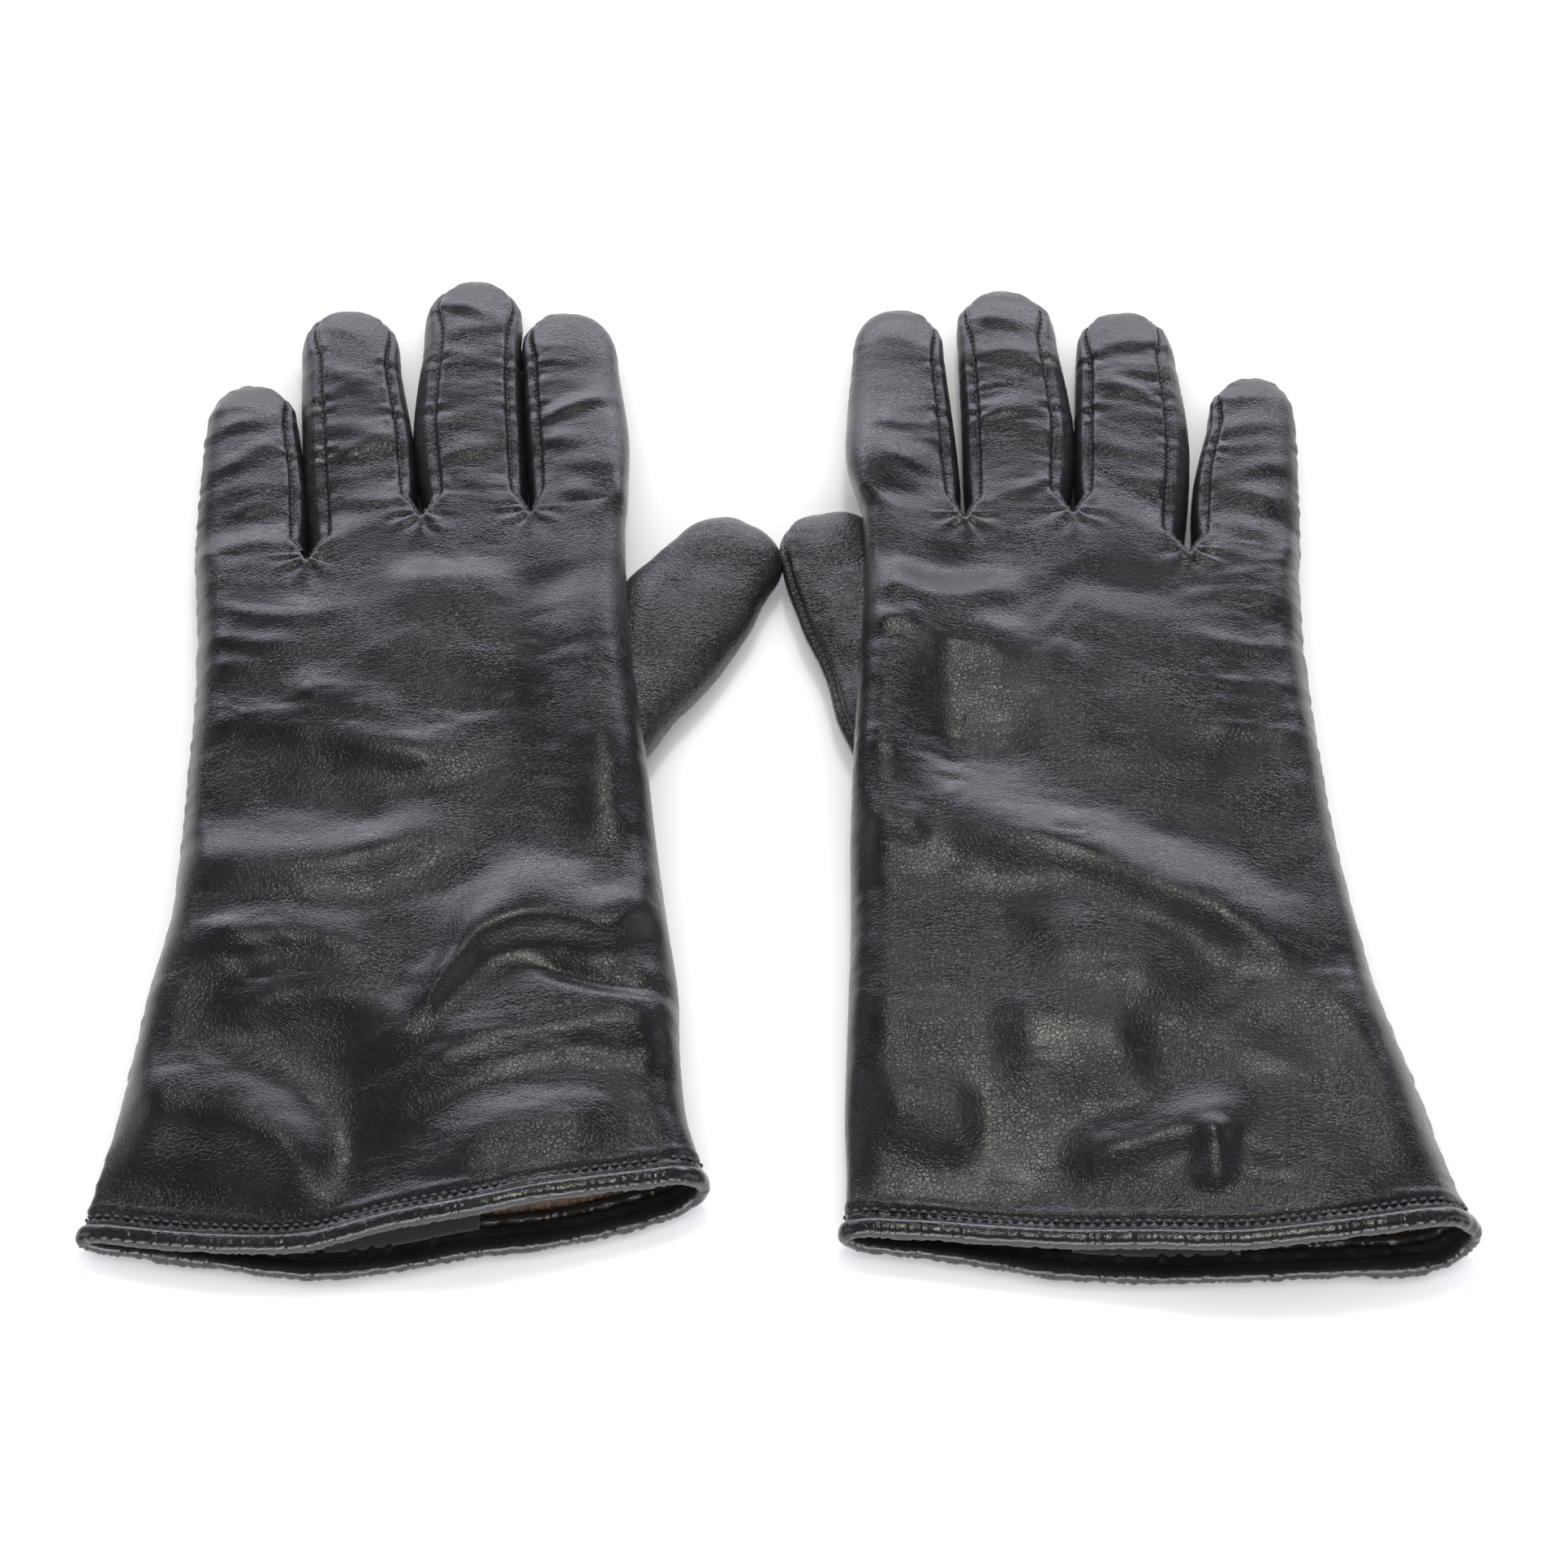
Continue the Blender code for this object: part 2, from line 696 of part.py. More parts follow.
    # -- hinges
    def hinge_lines(self):
        """Hinge centre and direction of every moving body, in glove millimetres."""
        thumb = self.lay["thumb"]
        turn = math.radians(thumb["turn"])
        lines = {
            "cuff": ((self.centre(WRIST_Y), WRIST_Y, self.wrist_axis_z()), (1.0, 0.0, 0.0)),
            "thumb_base": ((*self.thumb_hinge, thumb["height"]), (*self.thumb_line, 0.0)),
            "thumb_distal": ((*thumb["mid"], thumb["height"]), (math.cos(turn), -math.sin(turn), 0.0)),
        }
        for finger in FINGERS:
            base = (self.middle_x[finger], KNUCKLE_Y[finger], self.finger_axis_z())
            reach = MID_JOINT[finger]
            mid = (self.middle_x[finger] + self.lay["lean"][finger] * reach,
                   KNUCKLE_Y[finger] + reach, self.mid_axis_z(finger))
            lines[f"{finger}_proximal"] = (base, (1.0, 0.0, 0.0))
            lines[f"{finger}_distal"] = (mid, (1.0, 0.0, 0.0))
        return lines

    def build_axes(self, root):
        """An empty on each hinge line, x along the hinge, carries the body it moves."""
        empties = {}
        for body, (point, direction) in self.hinge_lines().items():
            dx, dy, dz = direction
            along = Vector((self.lay["side"] * dx, dy, dz)).normalized()
            turn = Vector((1.0, 0.0, 0.0)).rotation_difference(along)
            empty = bpy.data.objects.new(f"axis_{body}_{self.hand}", None)
            empty.matrix_world = Matrix.Translation(self.world(*point)) @ turn.to_matrix().to_4x4()
            self.group.objects.link(empty)
            empties[body] = empty
        bpy.context.view_layer.update()
        for body, empty in empties.items():
            parent = root
            if body.endswith("_distal"):
                ahead = body.replace("_distal", "_proximal").replace("thumb_proximal", "thumb_base")
                parent = empties[ahead]
            if parent is not None:
                keep_parent(empty, parent)
        for body, items in self.bodies.items():
            carrier = empties.get(body, root)
            if carrier is not None:
                for item in items:
                    keep_parent(item, carrier)

    def build(self, cutters):
        self.build_hand()
        self.build_cuff()
        for finger in FINGERS:
            self.build_finger(finger)
        self.build_thumb()
        self.build_threads()
        self.build_lining(cutters)


def keep_parent(item, parent):
    """Hang an object under a parent without moving it."""
    bpy.context.view_layer.update()
    placed = item.matrix_world.copy()
    item.parent = parent
    item.matrix_parent_inverse = parent.matrix_world.inverted()
    item.matrix_world = placed


def middle_offset(gloves):
    """The move that puts the middle of the pair over the origin, resting on the floor."""
    points = [vert.co for glove in gloves for items in glove.bodies.values()
              for item in items for vert in item.data.vertices]
    low = [min(point[k] for point in points) for k in range(3)]
    high = [max(point[k] for point in points) for k in range(3)]
    return Vector((-(low[0] + high[0]) / 2, -(low[1] + high[1]) / 2, -low[2]))


def main():
    clear_scene()
    group = make_collection("leather_gloves")
    cutters = make_collection("lining_tools")
    gloves = []
    for hand, lay in GLOVES.items():
        glove = Glove(hand, lay, group)
        glove.build(cutters)
        gloves.append(glove)
    shift = middle_offset(gloves)
    for item in bpy.data.objects:
        item.data.transform(Matrix.Translation(shift))
    spacing = bpy.data.objects.new("axis_pair_spacing", None)
    group.objects.link(spacing)
    for glove, root in zip(gloves, (None, spacing)):
        glove.shift = shift
        glove.build_axes(root)


main()
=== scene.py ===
"""The looks of a pair of black leather dress gloves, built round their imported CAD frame.

Each glove's leather is one structured skin: a flattened hand tube whose far end divides into
four finger tubes, with side strips between the fingers. Folds, creases, seam grooves and the
grain are worked into the vertices, then the skin is cut where the gloves bend.

Glove coordinates are millimetres: x towards the thumb, y towards the fingertips, z up.
"""

import json
import math

import bpy
import numpy as np
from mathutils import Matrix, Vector


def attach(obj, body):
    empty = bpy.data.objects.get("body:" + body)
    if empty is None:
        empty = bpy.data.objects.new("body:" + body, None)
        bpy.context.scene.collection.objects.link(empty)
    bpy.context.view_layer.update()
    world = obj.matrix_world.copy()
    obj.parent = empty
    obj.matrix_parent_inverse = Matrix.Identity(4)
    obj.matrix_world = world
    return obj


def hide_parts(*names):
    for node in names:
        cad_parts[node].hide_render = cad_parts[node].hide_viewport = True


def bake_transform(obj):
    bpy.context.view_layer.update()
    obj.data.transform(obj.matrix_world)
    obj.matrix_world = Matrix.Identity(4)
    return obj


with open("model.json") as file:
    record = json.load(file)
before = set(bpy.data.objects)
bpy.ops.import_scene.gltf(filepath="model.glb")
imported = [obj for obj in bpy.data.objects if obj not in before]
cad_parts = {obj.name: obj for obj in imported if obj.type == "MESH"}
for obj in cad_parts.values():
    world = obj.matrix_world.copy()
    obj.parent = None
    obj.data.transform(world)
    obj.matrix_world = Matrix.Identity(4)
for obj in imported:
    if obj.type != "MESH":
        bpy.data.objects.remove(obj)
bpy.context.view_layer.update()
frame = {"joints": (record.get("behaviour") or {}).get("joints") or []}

MM = 0.001
FINE = 2
FINGERS = ("index", "middle", "ring", "little")

# centre line of the left glove and of the right one in CAD, before the pair was centred
CENTRE_X = {"left": -80.0, "right": 65.0}
SIDE = {"left": 1.0, "right": -1.0}
WRIST_Y = -62.0
RING_X = -12.4

# outline stations: distance along the hand, edge on the little-finger side, edge on the index side
EDGES = {
    "left": {
        "y": (-120, -104, -92, -78, -60, -46, -25, -4, 14, 30, 50, 66),
        "little": (-58.6, -55.6, -52.8, -51.2, -48.9, -46.7, -46, -46.2, -46.4, -47.3, -49.2, -49.6),
        "index": (64, 64, 60.8, 59.2, 58.4, 56.3, 53.5, 51, 48.6, 46.8, 45.4, 44.8),
    },
    "right": {
        "y": (-120, -104, -92, -78, -60, -46, -25, -4, 14, 30, 50, 66),
        "little": (-71, -66, -63.1, -59.9, -55.2, -53.2, -50.6, -49, -48.2, -47.8, -48.2, -48.4),
        "index": (53.6, 52.6, 52.9, 52.5, 51.8, 51.3, 51.2, 50.4, 49.3, 48.2, 47.4, 47.8),
    },
}
# the cuff edge, from the little-finger side to the index side: where the back and the palm end
RIM = {
    "left": (
        (0.0, 0.11, 0.22, 0.37, 0.5, 0.64, 0.75, 0.89, 1.0),
        (-116.1, -118.3, -120.1, -120.6, -118.2, -116.5, -113.2, -109.2, -105.5),
        (-116.1, -117.8, -119.8, -122.4, -120.8, -117.2, -115.3, -110.8, -105.5),
    ),
    "right": (
        (0.0, 0.06, 0.22, 0.38, 0.54, 0.65, 0.86, 1.0),
        (-117.0, -118.4, -122.1, -123.6, -121.9, -120.8, -117.5, -115.7),
        (-117.0, -120.0, -121.8, -122.8, -123.2, -122.4, -117.8, -115.7),
    ),
}
RADIUS = ((-120, -90, -50, -10, 30, 66), (7.5, 7.7, 8.1, 8.4, 8.4, 7.4))
CROWN = ((-120, -90, -50, -10, 30, 66), (1.6, 0.4, 0.5, 0.8, 1.2, 0.4))
FLOOR = ((-120, -104, -80, -40, 66), (2.2, 1.6, 0.6, 0.0, 0.0))

# where the fingers part, and each finger: y, middle line x, half width; then the tip
CROTCHES = {
    "left": {"index": (24.0, 65.0), "middle": (-0.2, 64.0), "ring": (-25.0, 50.5)},
    "right": {"index": (25.0, 63.5), "middle": (1.0, 65.0), "ring": (-24.0, 52.5)},
}
OUTER_Y = {"left": (62.0, 46.0), "right": (62.0, 48.0)}
FINGER_LINE = {
    "left": {
        "index": ((65, 90, 115), (34.4, 33.3, 30.8), (10.9, 11.8, 11.2), 134.0),
        "middle": ((64, 95, 120), (11.8, 8.5, 8.1), (12.1, 12.7, 11.4), 144.0),
        "ring": ((58, 90, 115), (-12.8, -16.2, -19.4), (12.9, 12.8, 11.5), 134.5),
        "little": ((50, 77, 97), (-37.0, -38.7, -40.6), (12.8, 12.0, 10.4), 110.5),
    },
    "right": {
        "index": ((64, 80, 96, 118), (36.2, 38.2, 38.6, 38.6), (11.3, 12.8, 12.2, 10.6), 135.0),
        "middle": ((64, 95, 122), (13.0, 12.0, 13.4), (12.0, 12.9, 11.6), 141.0),
        "ring": ((60, 90, 120), (-11.6, -13.6, -13.6), (12.5, 13.2, 11.4), 134.0),
        "little": ((51, 80, 97), (-36.4, -38.7, -41.0), (12.2, 11.7, 10.0), 113.0),
    },
}
FINGER_HEIGHT = 6.4
TIP_LENGTH = 16.0
SEAM_ANGLE = {"index": 46.0, "little": 57.0}
NARROW_SEAM = 46.0
BEND_REACH = 14.0
CUT_BACK = {"index": 21.0, "middle": 23.0, "ring": 21.0, "little": 17.0}


# ---------------------------------------------------------------- small maths
def smooth(t):
    t = np.clip(t, 0.0, 1.0)
    return t * t * (3.0 - 2.0 * t)


def curve(x, xs, ys):
    """Smooth interpolation through stations (Catmull-Rom on uneven steps, level at the ends)."""
    xs = np.asarray(xs, float)
    ys = np.asarray(ys, float)
    x = np.clip(x, xs[0], xs[-1])
    slope = np.gradient(ys, xs)
    k = np.clip(np.searchsorted(xs, x, side="right") - 1, 0, len(xs) - 2)
    h = xs[k + 1] - xs[k]
    t = (x - xs[k]) / h
    a = (1 + 2 * t) * (1 - t) ** 2
    b = t * (1 - t) ** 2
    c = t * t * (3 - 2 * t)
    d = t * t * (t - 1)
    return a * ys[k] + b * h * slope[k] + c * ys[k + 1] + d * h * slope[k + 1]


def lattice(ix, iy, iz, seed):
    """Repeatable random number in -1..1 for each whole-number cell corner."""
    n = ix * 374761393 + iy * 668265263 + iz * 2147483647 + seed * 1274126177
    n = (n ^ (n >> 13)) * 1274126177
    n = n ^ (n >> 16)
    return (n & 0xFFFFFF).astype(float) / 8388607.5 - 1.0


def noise(p, seed=0):
    """Smooth value noise in -1..1 at points p."""
    base = np.floor(p).astype(np.int64)
    f = smooth(p - base)
    total = np.zeros(len(p))
    for dx in (0, 1):
        wx = f[:, 0] if dx else 1 - f[:, 0]
        for dy in (0, 1):
            wy = f[:, 1] if dy else 1 - f[:, 1]
            for dz in (0, 1):
                wz = f[:, 2] if dz else 1 - f[:, 2]
                total += wx * wy * wz * lattice(base[:, 0] + dx, base[:, 1] + dy, base[:, 2] + dz, seed)
    return total


def turbulence(p, octaves, seed):
    total = np.zeros(len(p))
    size = 1.0
    for k in range(octaves):
        total += size * noise(p * 2.0**k + 17.3 * k, seed + k)
        size *= 0.5
    return total


def fractions(marks, fine):
    """Column or row marks, with extra ones put between them when the mesh is fine."""
    marks = np.asarray(marks, float)
    out = [marks[0]]
    for low, high in zip(marks, marks[1:]):
        out += [low + (high - low) * (k + 1) / fine for k in range(fine)]
    return np.array(out)


TOP = fractions([0, 0.03, 0.065, 0.115, 0.19, 0.28, 0.39, 0.5, 0.61, 0.72, 0.81, 0.885, 0.935, 0.97, 1], FINE)
WALL = fractions([0, 0.06, 0.14, 0.28, 0.5, 0.72, 0.86, 0.94, 1], FINE)
ARC = fractions(np.linspace(0, 1, 13), FINE)


# ---------------------------------------------------------------- the skin
class Skin:
    """Vertices and labelled quads of one glove's leather, in glove millimetres."""

    def __init__(self, hand):
        self.hand = hand
        self.points = []
        self.faces = []
        self.labels = []
        self.panels = []
        self.seams = {}
        self.cuts = {}

    def put(self, xyz):
        first = len(self.points)
        self.points.extend(np.asarray(xyz, float).tolist())
        return np.arange(first, len(self.points))

    def quads(self, rows, label, panels, closed):
        """Join equal rows of vertex numbers; panels names the panel of each column of cells."""
        for low, high in zip(rows, rows[1:]):
            count = len(low)
            for j in range(count if closed else count - 1):
                k = (j + 1) % count
                self.faces.append((int(low[j]), int(high[j]), int(high[k]), int(low[k])))
                self.labels.append(label)
                self.panels.append(panels[j])


def edge_x(hand, which, y):
    stations = EDGES[hand]
    return curve(np.asarray(y, float), stations["y"], stations[which])


def lift(hand, x, y):
    """How far the index side rides up over the thumb that lies under it."""
    amount, reach = {"left": (6.0, 26.0), "right": (8.0, 20.0)}[hand]
    across = smooth((x - (48.0 - reach)) / reach)
    along = smooth((y + 42.0) / 42.0) * smooth((112.0 - y) / 44.0)
    return amount * across * along


def hand_section(hand, place, y, off=0.0):
    """Points of the hand tube: place runs 0..4 over the back, little side, palm, index side."""
    place = np.asarray(place, float)
    y = np.asarray(y, float)
    radius = curve(y, *RADIUS)
    crown = curve(y, *CROWN)
    floor = curve(y, *FLOOR)
    left = edge_x(hand, "little", y) + radius
    right = edge_x(hand, "index", y) - radius
    part = np.floor(place).astype(int) % 4
    f = place - np.floor(place)
    angle = np.radians(90 - 180 * f)
    r = radius - off
    x = np.select(
        [part == 0, part == 1, part == 2],
        [right + (left - right) * f, left - r * np.cos(angle), left + (right - left) * f],
        right + r * np.cos(angle),
    )
    dome = crown * (1 - (2 * f - 1) ** 2)
    z = np.select(
        [part == 0, part == 1, part == 2],
        [radius + r + dome, radius + r * np.sin(angle), radius - r],
        radius - r * np.sin(angle),
    )
    z = floor + z * mouth(hand, x, y)
    up = lift(hand, x, y)
    return x, z + up * (1.0 - 0.35 * np.clip(z / (2 * radius), 0, 1))


def mouth(hand, x, y):
    """How much of its full height the cuff keeps at each place: both mouths close up at one end."""
    low = edge_x(hand, "little", y)
    share = (x - low) / (edge_x(hand, "index", y) - low)
    if hand == "left":
        keep = curve(share, (0.0, 0.22, 0.37, 0.5, 0.64, 0.85, 1.0), (0.36, 0.46, 0.52, 0.74, 0.95, 0.9, 0.7))
    else:
        keep = curve(share, (0.0, 0.06, 0.2, 0.4, 0.65, 0.86, 1.0), (0.8, 0.95, 1.0, 0.85, 0.6, 0.5, 0.45))
    return 1.0 + (keep - 1.0) * (1 - smooth((y + 119.0) / 58.0))


def rim_start(hand, x):
    """Where along the glove the back's cuff edge lies, and how much further the palm's edge reaches."""
    shares, back, palm = RIM[hand]
    left = edge_x(hand, "little", np.array([-118.0]))[0]
    right = edge_x(hand, "index", np.array([-118.0]))[0]
    share = (x - left) / (right - left)
    start = curve(share, shares, back)
    return start, start - curve(share, shares, palm)


def rim_row(hand, places):
    """Distance along the hand of the cuff edge at each place round it."""
    x, _ = hand_section(hand, places, np.full(len(places), -118.0))
    start, dip = rim_start(hand, x)
    under = smooth((places - 1.0) / 1.0) * smooth((4.0 - places) / 1.0)
    return start - dip * under


def build_skin(hand):
    skin = Skin(hand)
    crotch = CROTCHES[hand]
    # borders across the knuckles, as places over the back
    y_mid = 60.0
    radius = float(curve(np.array([y_mid]), *RADIUS)[0])
    left = float(edge_x(hand, "little", y_mid)) + radius
    right = float(edge_x(hand, "index", y_mid)) - radius
    borders = [0.0] + [(right - crotch[f][0]) / (right - left) for f in FINGERS[:3]] + [1.0]
    edge_y = [OUTER_Y[hand][0]] + [crotch[f][1] for f in FINGERS[:3]] + [OUTER_Y[hand][1]]

    places, ends, zone = [], [], []
    for k in range(4):
        span = borders[k + 1] - borders[k]
        for t in TOP[:-1]:
            places.append(borders[k] + span * t)
            ends.append(edge_y[k] + (edge_y[k + 1] - edge_y[k]) * t)
            zone.append("back")
    for t in ARC[:-1]:
        places.append(1 + t)
        ends.append(edge_y[4])
        zone.append("little_side")
    for k in (3, 2, 1, 0):
        span = borders[k + 1] - borders[k]
        for t in TOP[:-1]:
            places.append(2 + (1 - (borders[k + 1] - span * t)))
            ends.append(edge_y[k + 1] + (edge_y[k] - edge_y[k + 1]) * t)
            zone.append("palm")
    for t in ARC[:-1]:
        places.append(3 + t)
        ends.append(edge_y[0])
        zone.append("index_side")
    places = np.array(places)
    ends = np.array(ends)

    # rows from the cuff edge to the knuckles
    marks = np.concatenate([np.linspace(0, 0.09, 14)[:-1], np.linspace(0.09, 0.9, 88)[:-1],
                            np.linspace(0.9, 1.0, 16)])
    marks = fractions(marks, FINE)
    starts = rim_row(hand, places)
    rows = []
    for s in marks:
        y = starts + (ends - starts) * s
        x, z = hand_section(hand, places, y)
        rows.append(skin.put(np.stack([x, y, z], 1)))
    skin.quads(rows, "hand", zone, True)
    skin.rim = rows[0]
    last = rows[-1]
    skin.hand_rows = rows

    # the web lines between neighbouring fingers
    n_top, n_arc = len(TOP) - 1, len(ARC) - 1
    back_at = [k * n_top for k in range(4)] + [4 * n_top]
    palm_start = 4 * n_top + n_arc
    palm_at = [palm_start + (4 - k) * n_top for k in range(5)]
    count = len(last)
    points = np.array(skin.points)
    webs = []
    for k in range(1, 4):
        top = points[last[back_at[k]]]
        low = points[last[palm_at[k] % count]]
        t = WALL[1:-1][:, None]
        line = top + (low - top) * t
        line[:, 1] -= 2.2 * np.sin(np.pi * t[:, 0])
        webs.append(skin.put(line))

    for k, finger in enumerate(FINGERS):
        ys, xs, halves, tip = FINGER_LINE[hand][finger]
        first = list(last[back_at[k]:back_at[k + 1]]) + [last[back_at[k + 1] % count]]
        if k == 3:
            first = list(last[back_at[3]:back_at[4] + 1])
            little_wall = list(last[back_at[4] + 1:palm_at[4] + 1])
        else:
            little_wall = list(webs[k]) + [last[palm_at[k + 1]]]
        palm = [last[j % count] for j in range(palm_at[k + 1] + 1, palm_at[k] + 1)]
        if k == 0:
            index_wall = [last[j % count] for j in range(palm_at[0] + 1, count)]
        else:
            index_wall = list(webs[k - 1][::-1])
        ring0 = np.array(first + little_wall + palm + index_wall)
        wall_l = ARC if k == 3 else WALL
        wall_i = ARC if k == 0 else WALL
        names = (["back"] * n_top + (["little_side"] if k == 3 else ["strip"]) * (len(wall_l) - 1)
                 + ["palm"] * n_top + (["index_side"] if k == 0 else ["strip"]) * (len(wall_i) - 1))
        # place round the finger for each column: 0..1 back, 1..2 little wall, 2..3 palm, 3..4
        around = np.concatenate([TOP[:-1], 1 + wall_l[:-1], 2 + TOP[:-1], 3 + wall_i[:-1]])
        points = np.array(skin.points)
        base = points[ring0]
        ribs = [ring0]
        steps = fractions(np.concatenate([np.linspace(0, 0.14, 10)[:-1], np.linspace(0.14, 1, 40)]), FINE)
        stop = tip - TIP_LENGTH
        for t in steps[1:]:
            y = base[:, 1] + (stop - base[:, 1]) * t
            ribs.append(skin.put(finger_row(hand, finger, around, y, base, 0.0)))
        for psi in fractions(np.linspace(0, 84, 13), FINE)[1:]:
            y = np.full(len(around), stop)
            ribs.append(skin.put(finger_row(hand, finger, around, y, base, psi)))
        cut = ys[0] + CUT_BACK[finger]
        levels = [np.mean([skin.points[v][1] for v in rib]) for rib in ribs]
        skin.cuts[finger] = sum(level <= cut for level in levels) - 1
        for n, (low, high) in enumerate(zip(ribs, ribs[1:])):
            skin.quads([low, high], finger + ("_a" if n < skin.cuts[finger] else "_b"), names, True)
        skin.seams[finger] = {
            "back_index": [rib[0] for rib in ribs],
            "back_little": [rib[n_top] for rib in ribs],
            "palm_little": [rib[n_top + len(wall_l) - 1] for rib in ribs],
            "palm_index": [rib[2 * n_top + len(wall_l) - 1] for rib in ribs],
            "outer": [rib[n_top + (len(wall_l) - 1) // 2] for rib in ribs] if k == 3 else None,
        }
        # close the tip with a fan
        end = ribs[-1]
        centre = np.mean([skin.points[v] for v in end], axis=0)
        centre[1] += 0.25
        hub = skin.put([centre])[0]
        for j in range(len(end)):
            skin.faces.append((int(end[j]), int(hub), int(end[(j + 1) % len(end)])))
            skin.labels.append(finger + "_b")
            skin.panels.append(names[j])
    skin.side_seam = [row[4 * n_top + n_arc // 2] for row in rows]
    return skin


def finger_row(hand, finger, around, y, base, psi):
    """Points of one row round a finger; psi is the angle over the rounded tip, 0 before it."""
    ys, xs, halves, tip = FINGER_LINE[hand][finger]
    turn = math.radians(psi)
    shrink = math.cos(turn) ** 0.9
    at = y + TIP_LENGTH * math.sin(turn)
    x_mid = curve(at, list(ys) + [tip], list(xs) + [xs[-1] + (xs[-1] - xs[-2]) * 0.5])
    half = curve(np.minimum(at, ys[-1]), ys, halves) * shrink
    start = ys[0]
    v = at - start
    share = np.clip(v / (tip - start), 0, 1)
    height = (FINGER_HEIGHT + 0.5 - 1.6 * share) * shrink
    rise = 1.5 * np.sin(np.pi * np.clip(share, 0, 1)) + FINGER_HEIGHT + 0.7 - 1.9 * share
    taper = 28.0 * smooth((share - 0.72) / 0.28)
    inner = SEAM_ANGLE["index"] - taper
    outer = (NARROW_SEAM if finger == "index" else SEAM_ANGLE["little"]) - taper
    part = np.floor(around).astype(int)
    f = around - part
    angle = np.select(
        [part == 0, part == 1, part == 2],
        [
            inner + (180 - outer - inner) * f,
            180 - outer + 2 * outer * f,
            180 + outer + (180 - outer - inner) * f,
        ],
        -inner + 2 * inner * f,
    )
    a = np.radians(angle)
    power = 2 / 2.35
    x = x_mid + half * np.sign(np.cos(a)) * np.abs(np.cos(a)) ** power
    z = rise + height * np.sign(np.sin(a)) * np.abs(np.sin(a)) ** power
    z = z + lift(hand, x, at) * 0.85
    if psi == 0.0:
        away = y - base[:, 1]
        share = smooth(away / 8.0)
        ease = smooth(away / 16.0)
        x = base[:, 0] + (x - base[:, 0]) * share
        z = base[:, 2] + (z - base[:, 2]) * ease
    return np.stack([x, at, z], 1)


# ---------------------------------------------------------------- working the leather
def vertex_normals(points, faces):
    """Area-weighted vertex normals of a mesh of quads and triangles."""
    normals = np.zeros_like(points)
    quads = np.array([f for f in faces if len(f) == 4])
    tris = np.array([f for f in faces if len(f) == 3]).reshape(-1, 3)
    n = np.cross(points[quads[:, 2]] - points[quads[:, 0]], points[quads[:, 3]] - points[quads[:, 1]])
    for c in range(4):
        np.add.at(normals, quads[:, c], n)
    if len(tris):
        n = np.cross(points[tris[:, 1]] - points[tris[:, 0]], points[tris[:, 2]] - points[tris[:, 0]])
        for c in range(3):
            np.add.at(normals, tris[:, c], n)
    return normals / np.maximum(np.linalg.norm(normals, axis=1), 1e-12)[:, None]


def edge_list(faces):
    pairs = set()
    for face in faces:
        for a, b in zip(face, face[1:] + face[:1]):
            pairs.add((a, b) if a < b else (b, a))
    return np.array(sorted(pairs))


def relax(points, edges, weight, rounds, pinned):
    """Laplacian smoothing, stronger where weight is higher; pinned vertices stay."""
    degree = np.zeros(len(points))
    np.add.at(degree, edges[:, 0], 1)
    np.add.at(degree, edges[:, 1], 1)
    step = (weight * 0.5)[:, None]
    for _ in range(rounds):
        total = np.zeros_like(points)
        np.add.at(total, edges[:, 0], points[edges[:, 1]])
        np.add.at(total, edges[:, 1], points[edges[:, 0]])
        moved = points + (total / degree[:, None] - points) * step
        moved[pinned] = points[pinned]
        points = moved
    return points


